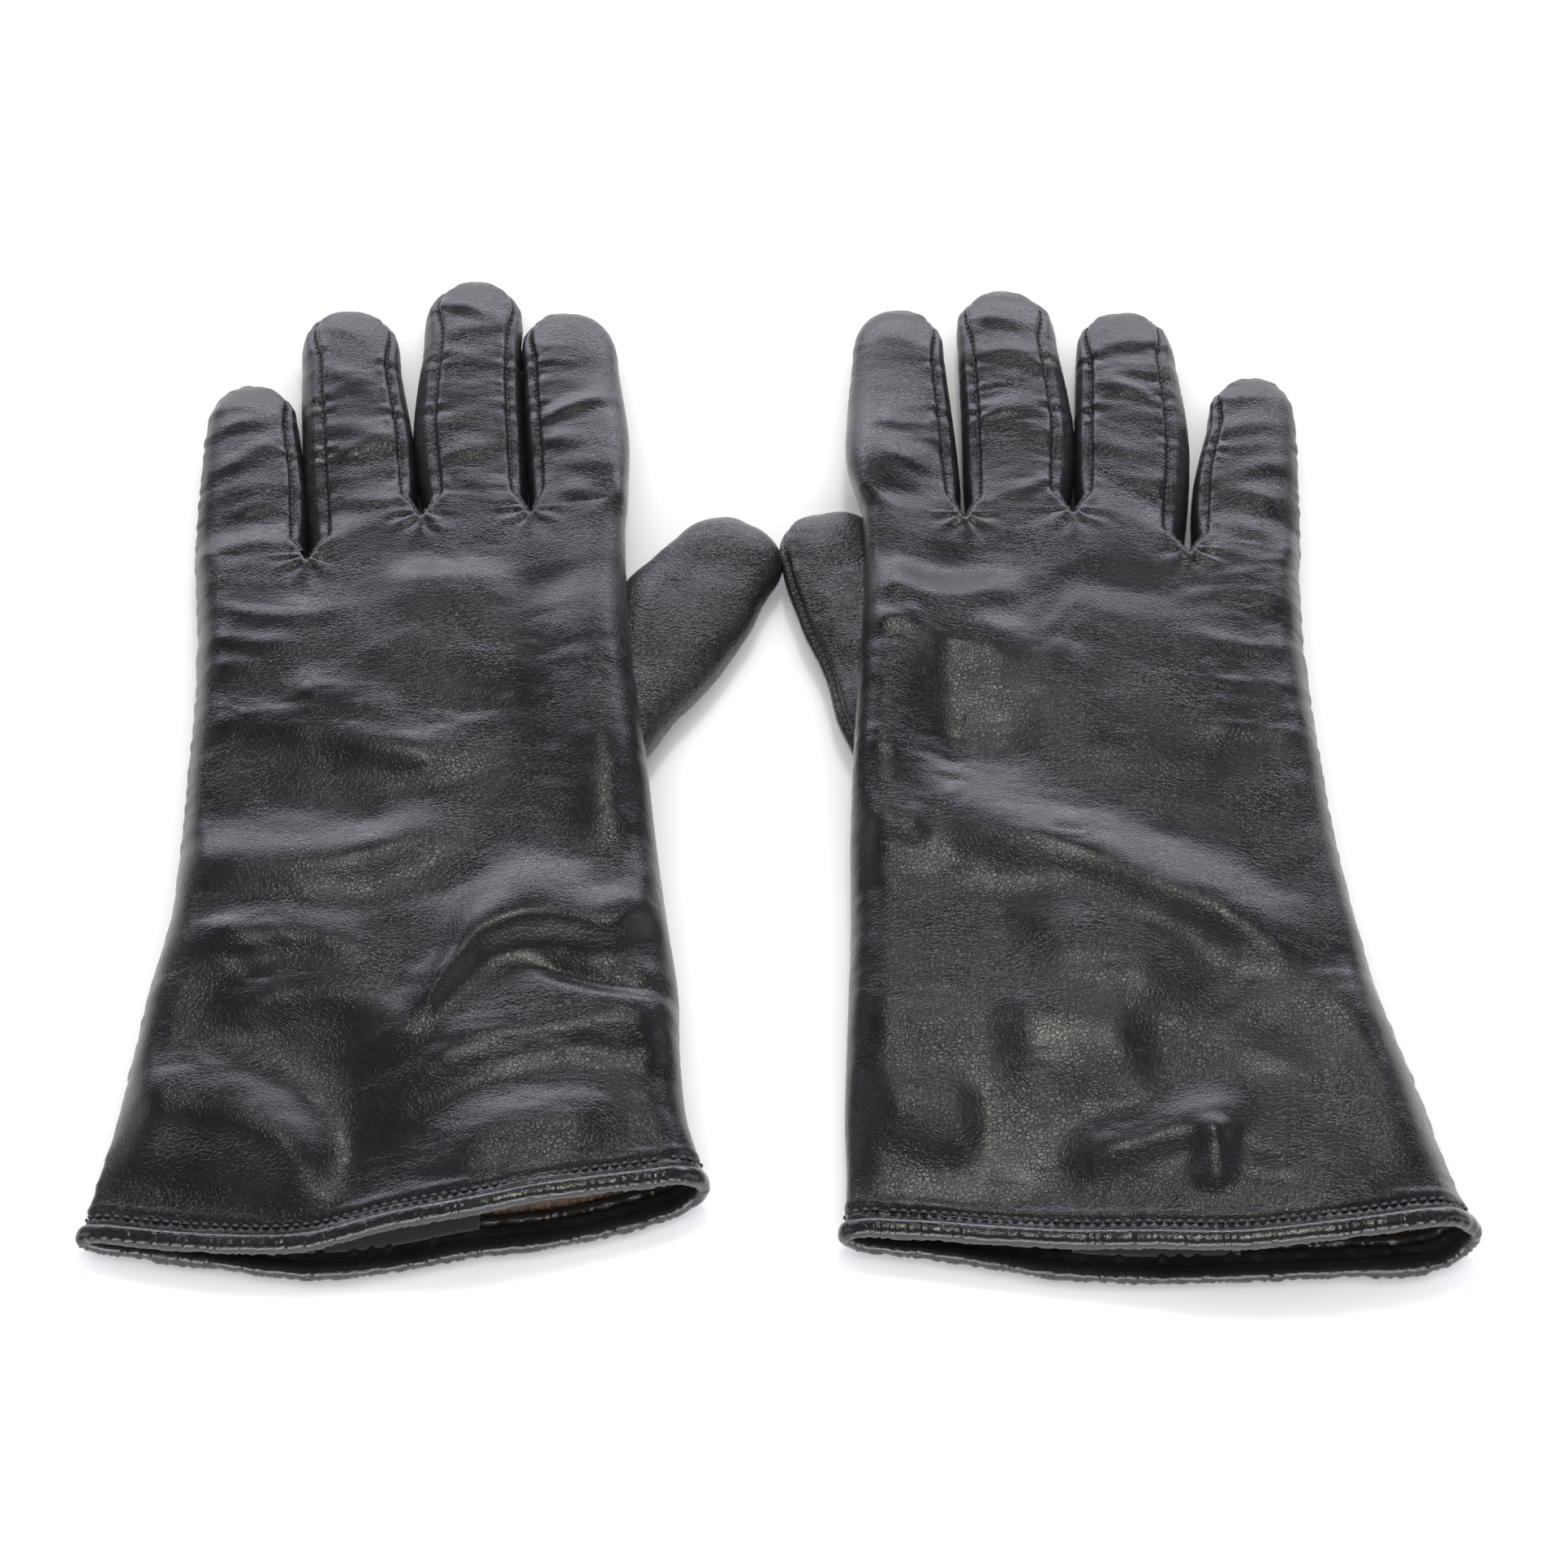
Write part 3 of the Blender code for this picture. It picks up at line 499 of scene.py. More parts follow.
# raised folds on the backs: path, height, width on the far side, width on the near side
FOLDS = {
    "left": (
        (((9, -67), (15, -57), (24, -50), (34, -49), (44, -51), (54, -44)), 2.4, 10.0, 3.8),
        (((0, -80), (7, -71), (14, -60)), 1.1, 4.5, 4.5),
        (((3, -87), (19, -78), (35, -74), (56, -72)), 1.8, 9.0, 6.0),
        (((30, -60), (46, -65), (60, -65)), -0.7, 2.4, 2.0),
        (((-42, -31), (-27, -34), (-10, -33), (8, -26)), 1.5, 6.5, 6.0),
        (((-38, -54), (-21, -52), (-4, -56)), 1.0, 6.0, 5.0),
        (((-31, -70), (-14, -66), (2, -71)), 0.8, 5.0, 4.5),
        (((-50, -92), (-30, -95), (-12, -104)), 3.2, 9.0, 8.0),
        (((14, -103), (28, -98), (44, -97)), 1.0, 7.0, 6.0),
        (((-24, 10), (-12, 7), (-2, 6)), 0.7, 6.0, 5.0),
        (((-4, 41), (8, 42), (20, 41)), 1.1, 6.0, 15.0),
        (((-44, 5), (-24, 1), (-6, -4), (10, -7)), 0.7, 4.6, 4.0),
        (((-44, 36), (-32, 33), (-20, 32)), 0.22, 2.0, 1.7),
        (((-44, 27), (-34, 25), (-24, 24)), 0.22, 2.0, 1.7),
        (((-44, 19), (-32, 18)), 0.18, 1.8, 1.6),
        (((38, 48), (39, 10), (43, -30)), 0.8, 5.0, 5.0),
    ),
    "right": (
        (((38, 26), (28, 27), (16, 24)), 1.5, 9.0, 12.0),
        (((36, -2), (26, -4), (14, -3)), -0.9, 12.0, 9.0),
        (((14, 22), (6, 19), (0, 15)), 0.4, 7.0, 8.0),
        (((30, -26), (16, -29), (0, -34), (-16, -43), (-36, -54)), 2.0, 9.0, 5.5),
        (((48, -23), (36, -25)), 0.8, 5.0, 4.0),
        (((14, -55), (0, -57), (-14, -60)), 1.3, 15.0, 11.0),
        (((20, -74), (6, -76), (-6, -78)), 1.2, 8.0, 11.0),
        (((-20, -98), (-19, -112)), 1.1, 2.6, 2.6),
        (((6, -104), (-8, -100), (-24, -95)), 1.3, 5.5, 4.5),
        (((46, -91), (28, -96)), 0.9, 7.0, 6.0),
        (((-46, -64), (-53, -82), (-59, -106)), 1.0, 6.0, 6.0),
        (((-22, 27), (-38, 24), (-48, 26)), 0.25, 2.2, 1.8),
        (((-22, 15), (-36, 13), (-48, 15)), 0.2, 2.0, 1.7),
        (((-24, 2), (-46, 1)), 0.2, 2.0, 1.7),
        (((44, 39), (30, 37), (16, 40)), 1.2, 6.0, 4.0),
        (((46, 28), (36, 30)), 0.5, 3.0, 2.4),
    ),
}


def fold_height(hand, plan):
    """Height added to the back by the listed folds; each runs mostly along x or mostly along y."""
    total = np.zeros(len(plan))
    for path, height, far, near in FOLDS[hand]:
        path = np.asarray(path, float)
        reach = np.abs(path[-1] - path[0])
        main = 0 if reach[0] >= reach[1] else 1
        path = path[np.argsort(path[:, main])]
        u, v = path[:, main], path[:, 1 - main]
        run = plan[:, main]
        lean = (v[-1] - v[0]) / (u[-1] - u[0])
        side = (plan[:, 1 - main] - curve(run, u, v)) / math.hypot(1.0, lean)
        if main == 1 and lean > 0:
            side = -side
        width = 1.15 * np.where(side > 0, far, near)
        soft = max(0.2 * (u[-1] - u[0]), 0.3 * (far + near))
        ends = smooth((run - u[0] + soft) / (2 * soft)) * smooth((u[-1] + soft - run) / (2 * soft))
        total += height * np.exp(-((side / width) ** 2)) * ends
    return total


def seam_tree(points, paths):
    """Nearest-seam lookup: a tree over dense samples, with each one's distance along its seam."""
    from mathutils.kdtree import KDTree

    samples, runs = [], []
    for path in paths:
        p = points[np.array(path)]
        step = np.linalg.norm(np.diff(p, axis=0), axis=1)
        run = np.concatenate([[0], np.cumsum(step)])
        wanted = np.arange(0, run[-1], 0.45)
        samples.append(np.stack([np.interp(wanted, run, p[:, c]) for c in range(3)], 1))
        runs.append(wanted)
    samples = np.concatenate(samples)
    tree = KDTree(len(samples))
    for n, s in enumerate(samples):
        tree.insert(s, n)
    tree.balance()
    return tree, np.concatenate(runs)


def seam_paths(skin):
    paths = []
    for finger in FINGERS:
        seams = skin.seams[finger]
        if finger != "index":
            paths += [seams["back_index"], seams["palm_index"]]
        if finger != "little":
            paths += [seams["back_little"], seams["palm_little"]]
    outer = list(skin.side_seam[:-1]) + list(skin.seams["little"]["outer"])
    paths.append(outer)
    return paths


def finger_wrinkles(hand, finger, points):
    """Height of the slanting cross wrinkles on a finger's back, each with its own place, length and size."""
    ys, xs, _, tip = FINGER_LINE[hand][finger]
    total = np.zeros(len(points))
    mine = np.abs(points[:, 0] - curve(points[:, 1], ys, xs)) < 13.8
    mine &= points[:, 1] > ys[0] + 2
    p = points[mine]
    code = FINGERS.index(finger) * 7 + (31 if hand == "right" else 3)
    add = np.zeros(len(p))
    for n in range(7):
        pick = [float(lattice(np.array([n]), np.array([code]), np.array([k]), 9)[0]) for k in range(5)]
        y0 = ys[0] + (tip - ys[0]) * (0.10 + 0.12 * n + 0.05 * pick[0])
        x0 = curve(np.array([y0]), ys, xs)[0] + 5.5 * pick[1]
        slant = 0.42 * pick[2]
        reach = 6.5 + 3.0 * pick[3]
        size = 0.50 + 0.34 * pick[4]
        bend = 1.2 * noise(np.stack([p[:, 0] / 6.0, np.full(len(p), n + 0.5), np.zeros(len(p))], 1), code)
        across = p[:, 1] - y0 - slant * (p[:, 0] - x0) - bend
        fade = np.exp(-(((p[:, 0] - x0) / reach) ** 2))
        ridge = np.where(across > 0, np.exp(-((across / 3.4) ** 2)), np.exp(-((across / 2.6) ** 2)))
        add += size * fade * (ridge - 0.15 * np.exp(-(((across + 3.0) / 2.0) ** 2)))
    total[mine] = add
    return total


def crease(hand, points, normals):
    """Fine creases, mostly across the glove, stronger in patches."""
    q = points + (0.0 if hand == "left" else 250.0)
    q = q + 2.4 * np.stack([noise(q / 8.0, seed) for seed in (41, 42, 43)], 1)
    wide = 1 - np.abs(turbulence(q / np.array([8.5, 2.8, 8.0]), 2, 11)) * 1.6
    patch = smooth(0.5 + 0.9 * noise(q / 19.0, 21))
    small = 1 - np.abs(turbulence(q / np.array([3.2, 1.6, 3.2]), 2, 31)) * 1.6
    depth = (np.clip(wide, -1, 1) - 0.4) * (0.02 + 0.10 * patch**2) + (np.clip(small, -1, 1) - 0.4) * 0.022
    return points + normals * depth[:, None]


def work_leather(skin):
    """Round the crotches, raise the folds, sink the seams and crease the skin."""
    hand = skin.hand
    points = np.array(skin.points)
    faces = skin.faces
    edges = edge_list(faces)
    near = np.zeros(len(points))
    for finger, (cx, cy) in CROTCHES[hand].items():
        away = np.linalg.norm(points[:, :2] - np.array([cx, cy + 2.0]), axis=1)
        near = np.maximum(near, 1 - smooth((away - 5.0) / 9.0))
    weight = 0.25 + 0.6 * near
    points = relax(points, edges, weight, 5 * FINE, skin.rim)

    normals = vertex_normals(points, faces)
    top = smooth((normals[:, 2] + 0.1) / 0.6)
    plan = points[:, :2]
    swell = turbulence(points / np.array([34.0, 24.0, 60.0]), 2, 5 if hand == "left" else 6)
    warped = points + 6.0 * noise(points / 17.0, 63)[:, None]
    ripple = turbulence(warped / np.array([17.0, 7.5, 40.0]), 2, 15 if hand == "left" else 16)
    on_hand = smooth((62.0 - points[:, 1]) / 20.0) * smooth((points[:, 1] + 119.0) / 8.0)
    points[:, 2] += top * on_hand * (1.75 * fold_height(hand, plan) + 0.85 * swell + 0.28 * ripple)
    points[:, 2] += (1 - top) * on_hand * 0.15 * np.abs(swell)

    for finger in FINGERS:
        points[:, 2] += top * finger_wrinkles(hand, finger, points)

    points = crease(hand, points, vertex_normals(points, faces))

    # seams
    paths = seam_paths(skin)
    tree, runs = seam_tree(points, paths)
    gap = np.full(len(points), 9.0)
    run = np.zeros(len(points))
    for n, p in enumerate(points):
        _, index, distance = tree.find(p)
        gap[n] = distance
        run[n] = runs[index]
    pull = noise(np.stack([run / 2.2, gap / 5.0, points[:, 0] / 30.0], 1), 77)
    groove = -0.72 * np.exp(-((gap / 0.62) ** 2)) + (0.24 + 0.16 * pull) * np.exp(-(((gap - 1.7) / 1.0) ** 2))
    pucker = 0.26 * noise(np.stack([run / 2.1, gap / 9.0, np.zeros(len(run))], 1), 79) * np.exp(-((gap / 3.6) ** 2))
    for cx, cy in CROTCHES[hand].values():
        dx, dy = points[:, 0] - cx, points[:, 1] - cy
        away = np.hypot(dx, dy)
        fan = np.cos(7.0 * np.arctan2(dx, -dy) + 1.3 * noise(points / 4.0, 83))
        pucker += 0.24 * fan * np.exp(-(((away - 4.0) / 3.4) ** 2)) * (points[:, 1] < cy + 1.0)
    points += normals * (groove + pucker)[:, None]

    # the stitched hem
    hem = hem_line(hand, points)
    dip = -0.45 * np.exp(-(((hem - HEM_STITCH) / 0.7) ** 2)) + 0.25 * np.exp(-(((hem - HEM_STITCH - 1.7) / 1.0) ** 2))
    tug = noise(np.stack([points[:, 0] / 1.9, hem / 6.0, points[:, 2] / 4.0], 1), 91)
    points += normals * (dip + 0.24 * tug * np.exp(-((hem / 8.0) ** 2)))[:, None]
    points[:, 2] = np.maximum(points[:, 2], 0.0)
    skin.gap = gap
    skin.points = points
    skin.normals = vertex_normals(points, faces)
    skin.paths = paths
    return skin


HEM_STITCH = 3.4


def hem_line(hand, points):
    """Distance of points above the cuff edge, measured along the glove."""
    start, dip = rim_start(hand, points[:, 0])
    middle = curve(points[:, 1], *FLOOR) + curve(points[:, 1], *RADIUS) * mouth(hand, points[:, 0], points[:, 1])
    under = 1 - smooth((points[:, 2] / middle - 0.75) / 0.5)
    return points[:, 1] - (start - dip * under)


# ---------------------------------------------------------------- making pieces
knuckle = next(j for j in frame["joints"] if j["name"] == "ring_knuckle_left")["pos_m"]
wrist = next(j for j in frame["joints"] if j["name"] == "wrist_left")["pos_m"]
SHIFT = np.array([knuckle[0] / MM - (CENTRE_X["left"] + RING_X), wrist[1] / MM - WRIST_Y, 0.0])


def to_world(hand, points):
    """Glove millimetres to metres in the frame."""
    p = np.array(points, float)
    out = np.empty_like(p)
    out[:, 0] = CENTRE_X[hand] + SIDE[hand] * p[:, 0] + SHIFT[0]
    out[:, 1] = p[:, 1] + SHIFT[1]
    out[:, 2] = p[:, 2] + SHIFT[2]
    return out * MM


def joint_of(name):
    return next(j for j in frame["joints"] if j["name"] == name)


def make_object(name, hand, points, faces, material, normals=None, rest=None):
    """A smooth mesh object; normals are glove normals per vertex, kept across cuts."""
    mesh = bpy.data.meshes.new(name)
    if SIDE[hand] < 0:
        faces = [tuple(reversed(f)) for f in faces]
    mesh.from_pydata(to_world(hand, points).tolist(), [], [tuple(int(i) for i in f) for f in faces])
    mesh.shade_smooth()
    keep = mesh.attributes.new("rest", "FLOAT_VECTOR", "POINT")
    base = np.array(points if rest is None else rest, float)
    if SIDE[hand] < 0:
        base = base + 400.0
    keep.data.foreach_set("vector", base.astype(np.float32).ravel())
    mesh.materials.append(material)
    if normals is not None:
        n = np.array(normals, float)
        n[:, 0] *= SIDE[hand]
        mesh.normals_split_custom_set_from_vertices(n.tolist())
    item = bpy.data.objects.new(name, mesh)
    bpy.context.scene.collection.objects.link(item)
    return item


def skin_piece(skin, name, label, strip, material, thickness=0.8):
    """A closed piece of leather: the faces with a label, either its side strips or the rest."""
    rows = zip(skin.faces, skin.labels, skin.panels)
    picked = [f for f, lab, panel in rows if lab == label and (panel == "strip") == strip]
    used = sorted({v for f in picked for v in f})
    index = {v: n for n, v in enumerate(used)}
    outer = skin.points[used]
    normals = skin.normals[used]
    inner = outer - normals * thickness
    inner[:, 2] = np.maximum(inner[:, 2], 0.15)
    count = len(used)
    faces = [tuple(index[v] for v in f) for f in picked]
    border = {}
    for f in faces:
        for a, b in zip(f, f[1:] + f[:1]):
            if (b, a) in border:
                del border[(b, a)]
            else:
                border[(a, b)] = True
    inside = [tuple(v + count for v in reversed(f)) for f in faces]
    walls = [(b, a, a + count, b + count) for a, b in border]
    points = np.concatenate([outer, inner])
    both = np.concatenate([normals, -normals])
    return make_object(name, skin.hand, points, faces + inside + walls, material, both)


def grid_normals(grid):
    """Outward normals of a grid of rows of points that closes on itself along each row."""
    along = np.gradient(grid, axis=0)
    around = np.roll(grid, -1, axis=1) - np.roll(grid, 1, axis=1)
    n = np.cross(along, around)
    return n / np.maximum(np.linalg.norm(n, axis=2), 1e-9)[:, :, None]


def sleeve(outer, inner):
    """Vertices and faces of a double-walled tube from two equal grids of points."""
    rows, cols = outer.shape[:2]
    faces = []
    size = rows * cols
    for i in range(rows - 1):
        for j in range(cols):
            k = (j + 1) % cols
            a, b, c, d = i * cols + j, (i + 1) * cols + j, (i + 1) * cols + k, i * cols + k
            faces.append((a, b, c, d))
            faces.append((size + d, size + c, size + b, size + a))
    for j in range(cols):
        k = (j + 1) % cols
        top = (rows - 1) * cols
        faces.append((j, k, size + k, size + j))
        faces.append((top + k, top + j, size + top + j, size + top + k))
    return np.concatenate([outer.reshape(-1, 3), inner.reshape(-1, 3)]), faces


def around_places(count):
    """Places round the hand, evenly spaced along the leather."""
    flat = count * 0.41
    arc = count * 0.09
    steps = [np.arange(int(n)) / int(n) for n in (flat, arc, flat, arc)]
    return np.concatenate([k + t for k, t in enumerate(steps)])


def cuff_grid(hand, places, distances):
    """Points of the hand's surface in rows at given distances in from the cuff edge."""
    starts = rim_row(hand, places)
    rows = []
    for d in distances:
        y = starts + d
        x, z = hand_section(hand, places, y)
        rows.append(np.stack([x, y, z], 1))
    return np.array(rows)


def lap(values, low, high):
    """1 between low and high, with sharp shoulders."""
    return smooth((values - low) / 0.4) * smooth((high - values) / 0.4)


def make_binding(hand, material):
    """The rolled leather strip over the cuff edge, finely wrinkled, its end lapped over its start."""
    places = around_places(520 * FINE)
    grid = cuff_grid(hand, places, [0.0, 1.0, 2.0])
    normal = grid_normals(grid)[0]
    out = grid[0] - grid[1]
    out /= np.linalg.norm(out, axis=1)[:, None]
    ring = grid[0]
    step = np.linalg.norm(np.roll(ring, -1, axis=0) - ring, axis=1)
    run = np.concatenate([[0], np.cumsum(step)[:-1]])
    lap_x = -44.0 if hand == "left" else -61.0
    under = (places > 2) & (places < 3)
    lapped = np.where(under, lap(ring[:, 0], lap_x, lap_x + 11.0), 0.0)
    gather = 1.0 + 0.5 * np.where(under, smooth((noise(ring / 16.0, 8) + 0.2) / 0.6), 0.0)
    sides = 14 * FINE
    rows = []
    for n in range(sides):
        turn = 2 * math.pi * n / sides
        reach = 2.1 * np.sign(math.cos(turn)) * abs(math.cos(turn)) ** 0.8
        thick = 1.55 * np.sign(math.sin(turn)) * abs(math.sin(turn)) ** 0.9
        grown = 1.0 + 0.16 * lapped
        face = max(0.0, math.cos(turn) * 0.6 + 0.5)
        q = np.stack([run / 1.25, np.full(len(run), turn * 0.25), np.zeros(len(run))], 1)
        wrinkle = (0.30 - np.abs(noise(q, 3)) * 0.9) * 0.36 * face * gather
        q = np.stack([run / 5.5, np.full(len(run), turn * 0.3), np.ones(len(run))], 1)
        wrinkle += 0.14 * noise(q, 4) * face
        side_vector = normal * math.sin(turn) + out * math.cos(turn)
        centre = ring - normal * 0.45 + out * 0.5
        p = centre + (out * reach + normal * thick) * grown[:, None] + side_vector * wrinkle[:, None]
        p[:, 2] = np.maximum(p[:, 2], 0.05)
        rows.append(p)
    points = np.concatenate(rows)
    count = len(places)
    faces = []
    for i in range(sides):
        for j in range(count):
            k, h = (j + 1) % count, (i + 1) % sides
            faces.append((i * count + j, h * count + j, h * count + k, i * count + k))
    return make_object(f"rolled_binding_{hand}", hand, points, faces, material)


def make_facing(hand, material):
    """Leather band inside the cuff, puckered along its stitched line."""
    places = around_places(420 * FINE)
    distances = np.linspace(-0.6, 5.6, 9 * FINE)
    grid = cuff_grid(hand, places, distances)
    normals = grid_normals(cuff_grid(hand, places, distances))
    ramp = smooth((distances - 1.0) / 4.0)
    run = np.arange(len(places)) / len(places) * 250.0
    rows = []
    for i, d in enumerate(distances):
        dip = 0.55 * math.exp(-(((d - 3.6) / 0.6) ** 2))
        q = np.stack([run / 1.6, np.full(len(run), d / 2.4), np.zeros(len(run))], 1)
        bump = 0.55 * noise(q, 51) * math.exp(-(((d - 3.4) / 2.6) ** 2))
        rows.append(1.75 + 0.5 * ramp[i] - dip + bump)
    inner = grid - normals * np.array(rows)[:, :, None]
    outer = grid - normals * (0.95 + 0.3 * ramp)[:, None, None]
    points, faces = sleeve(outer, inner)
    return make_object(f"inner_facing_{hand}", hand, points, faces, material)


def make_lining(hand, material):
    """Ribbed knit tube inside the glove, from under the facing to deep inside the hand."""
    places = around_places(560 * FINE)
    distances = np.concatenate([np.linspace(3.9, 9.0, 8 * FINE), np.linspace(10.0, 128.0, 24 * FINE)])
    grid = cuff_grid(hand, places, distances)
    normals = grid_normals(grid)
    run = np.arange(len(places)) / len(places)
    ribs = 0.5 + 0.5 * np.cos(2 * np.pi * run * 150)
    loops = 0.10 * np.cos(2 * np.pi * distances / 1.1)
    depth = 0.9 + 1.1 * smooth((distances - 5.0) / 12.0) + 2.2 * smooth((distances - 24.0) / 30.0)
    rib = ribs[None, :] * (0.45 + loops[:, None])
    outer = grid - normals * depth[:, None, None]
    inner = outer - normals * (0.45 + rib)[:, :, None]
    points, faces = sleeve(outer, inner)
    return make_object(f"knit_tube_{hand}", hand, points, faces, material)


LABEL_X = {"left": (-15.0, 20.0), "right": (-24.5, 8.5)}


def make_label(hand, material):
    """Blank woven ribbon, folded in two, sewn to the facing on the palm side."""
    low, high = LABEL_X[hand]
    across = np.linspace(low, high, 34 * FINE)
    turns = np.linspace(0, 2 * math.pi, 22 * FINE, endpoint=False)
    start, dip = rim_start(hand, across)
    rows = []
    for t in turns:
        reach = 4.6 * np.sign(math.cos(t)) * abs(math.cos(t)) ** 0.45
        thick = 0.50 * np.sign(math.sin(t)) * abs(math.sin(t)) ** 0.55
        thick *= 1.0 - 0.25 * math.exp(-((math.sin(t) / 0.2) ** 2))
        y = start - dip + 7.2 - reach
        sway = 0.25 * np.sin((across - low) / 9.0 + y / 14.0)
        z = 3.9 + (7.2 - reach) * 0.09 + thick + sway
        rows.append(np.stack([across, y, z], 1))
    m = len(across)
    points = np.concatenate(rows)
    faces = []
    for i in range(len(turns)):
        h = (i + 1) % len(turns)
        for j in range(m - 1):
            faces.append((i * m + j, i * m + j + 1, h * m + j + 1, h * m + j))
    faces.append(tuple(i * m for i in range(len(turns))))
    faces.append(tuple(i * m + m - 1 for i in range(len(turns) - 1, -1, -1)))
    return make_object(f"blank_label_{hand}", hand, points, faces, material)


# thumb: middle line, half widths, height, and the hinge line along the hand's edge
THUMB = {
    "left": {
        "line": ((35.5, -9.0), (39.0, 2.7), (50.0, 26.2), (59.6, 45.0), (66.2, 55.6)),
        "half": (8.5, 10.8, 13.6, 14.8, 12.6),
        "tip": 12.2,
        "height": 13.2,
    },
    "right": {
        "line": ((35.0, -9.0), (37.6, 3.6), (43.8, 27.7), (48.6, 43.8), (53.4, 58.0)),
        "half": (9.5, 12.2, 13.2, 13.4, 12.0),
        "tip": 13.8,
        "height": 11.4,
    },
}
THUMB_INSIDE = 6.0
THUMB_CUT = 32.0


def local(point_m, hand):
    """A point of the frame in glove millimetres."""
    x = (point_m[0] / MM - SHIFT[0] - CENTRE_X[hand]) * SIDE[hand]
    return np.array([x, point_m[1] / MM - SHIFT[1]])


def build_thumb(hand):
    shape = THUMB[hand]
    skin = Skin(hand)
    line = np.array(shape["line"])
    step = np.linalg.norm(np.diff(line, axis=0), axis=1)
    knots = np.concatenate([[0], np.cumsum(step)])
    hinge = joint_of(f"thumb_root_{hand}")
    pivot = local(hinge["pos_m"], hand)
    direction = np.array(hinge["axis"][:2]) * np.array([SIDE[hand], 1.0])
    direction *= np.sign(direction[1]) / np.linalg.norm(direction)
    outward = np.array([direction[1], -direction[0]])
    count = 56 * FINE
    phi = 2 * np.pi * np.arange(count) / count
    runs = list(np.arange(0.0, knots[-1], 1.5 / FINE)) + [knots[-1]]
    rows = [(run, 0.0) for run in runs]
    rows += [(knots[-1], psi) for psi in np.linspace(0, 84, 14 * FINE)[1:]]
    rings = []
    for run, psi in rows:
        turn = math.radians(psi)
        at = np.array([run])
        c = np.array([curve(at, knots, line[:, 0])[0], curve(at, knots, line[:, 1])[0]])
        ahead = np.array([curve(at - 0.5, knots, line[:, 0])[0], curve(at - 0.5, knots, line[:, 1])[0]])
        t = c - ahead if run > 1 else line[1] - line[0]
        t = t / np.linalg.norm(t)
        n = np.array([t[1], -t[0]])
        shrink = math.cos(turn) ** 0.8
        c = c + t * shape["tip"] * math.sin(turn)
        half = curve(at, knots, shape["half"])[0] * shrink
        tall = shape["height"] / 2 * (0.72 + 0.28 * smooth(np.array([run / 22.0]))[0]) * shrink
        mid = shape["height"] / 2 * (1.0 - 0.06 * math.sin(turn))
        across = half * np.sign(np.cos(phi)) * np.abs(np.cos(phi)) ** 0.86
        up = tall * np.sign(np.sin(phi)) * np.abs(np.sin(phi)) ** 0.86
        x = c[0] + n[0] * across
        y = c[1] + n[1] * across
        short = np.maximum(0.0, -THUMB_INSIDE - ((x - pivot[0]) * outward[0] + (y - pivot[1]) * outward[1]))
        x += outward[0] * short
        y += outward[1] * short
        rings.append(skin.put(np.stack([x, y, mid + up], 1)))
    knot = 0
    for low, high in zip(rings, rings[1:]):
        run, psi = rows[knot + 1]
        skin.quads([low, high], "b" if run > THUMB_CUT else "a", ["thumb"] * count, True)
        knot += 1
    ends = []
    for ring, label in ((rings[0], "a"), (rings[-1], "b")):
        middle = np.mean([skin.points[v] for v in ring], axis=0)
        hub = int(skin.put([middle])[0])
        ends.append(hub)
        for j in range(count):
            a, b = int(ring[j]), int(ring[(j + 1) % count])
            skin.faces.append((hub, a, b) if label == "a" else (a, hub, b))
            skin.labels.append(label)
            skin.panels.append("thumb")
    points = np.array(skin.points)
    points = relax(points, edge_list(skin.faces), np.full(len(points), 0.5), 2 * FINE, ends)
    normals = vertex_normals(points, skin.faces)
    swell = turbulence(points / np.array([13.0, 13.0, 30.0]), 2, 71 if hand == "left" else 72)
    points += normals * (0.8 * swell)[:, None]
    points = crease(hand, points + 60.0, vertex_normals(points, skin.faces)) - 60.0
    column = int(round(count * (0.955 if hand == "left" else 0.06)))
    path = [ring[column % count] for ring in rings[4 * FINE:]]
    tree, _ = seam_tree(points, [path])
    gap = np.array([tree.find(p)[2] for p in points])
    normals = vertex_normals(points, skin.faces)
    points += normals * (0.25 * np.exp(-(((gap - 1.7) / 1.0) ** 2)) - 0.8 * np.exp(-((gap / 0.75) ** 2)))[:, None]
    points[:, 2] = np.maximum(points[:, 2], 0.0)
    skin.points = points
    skin.normals = vertex_normals(points, skin.faces)
    skin.paths = {"thumb": [path]}
    skin.rows = rows
    skin.cut = sum(run <= THUMB_CUT for run, _ in rows[4 * FINE:])
    skin.outward = outward
    return skin


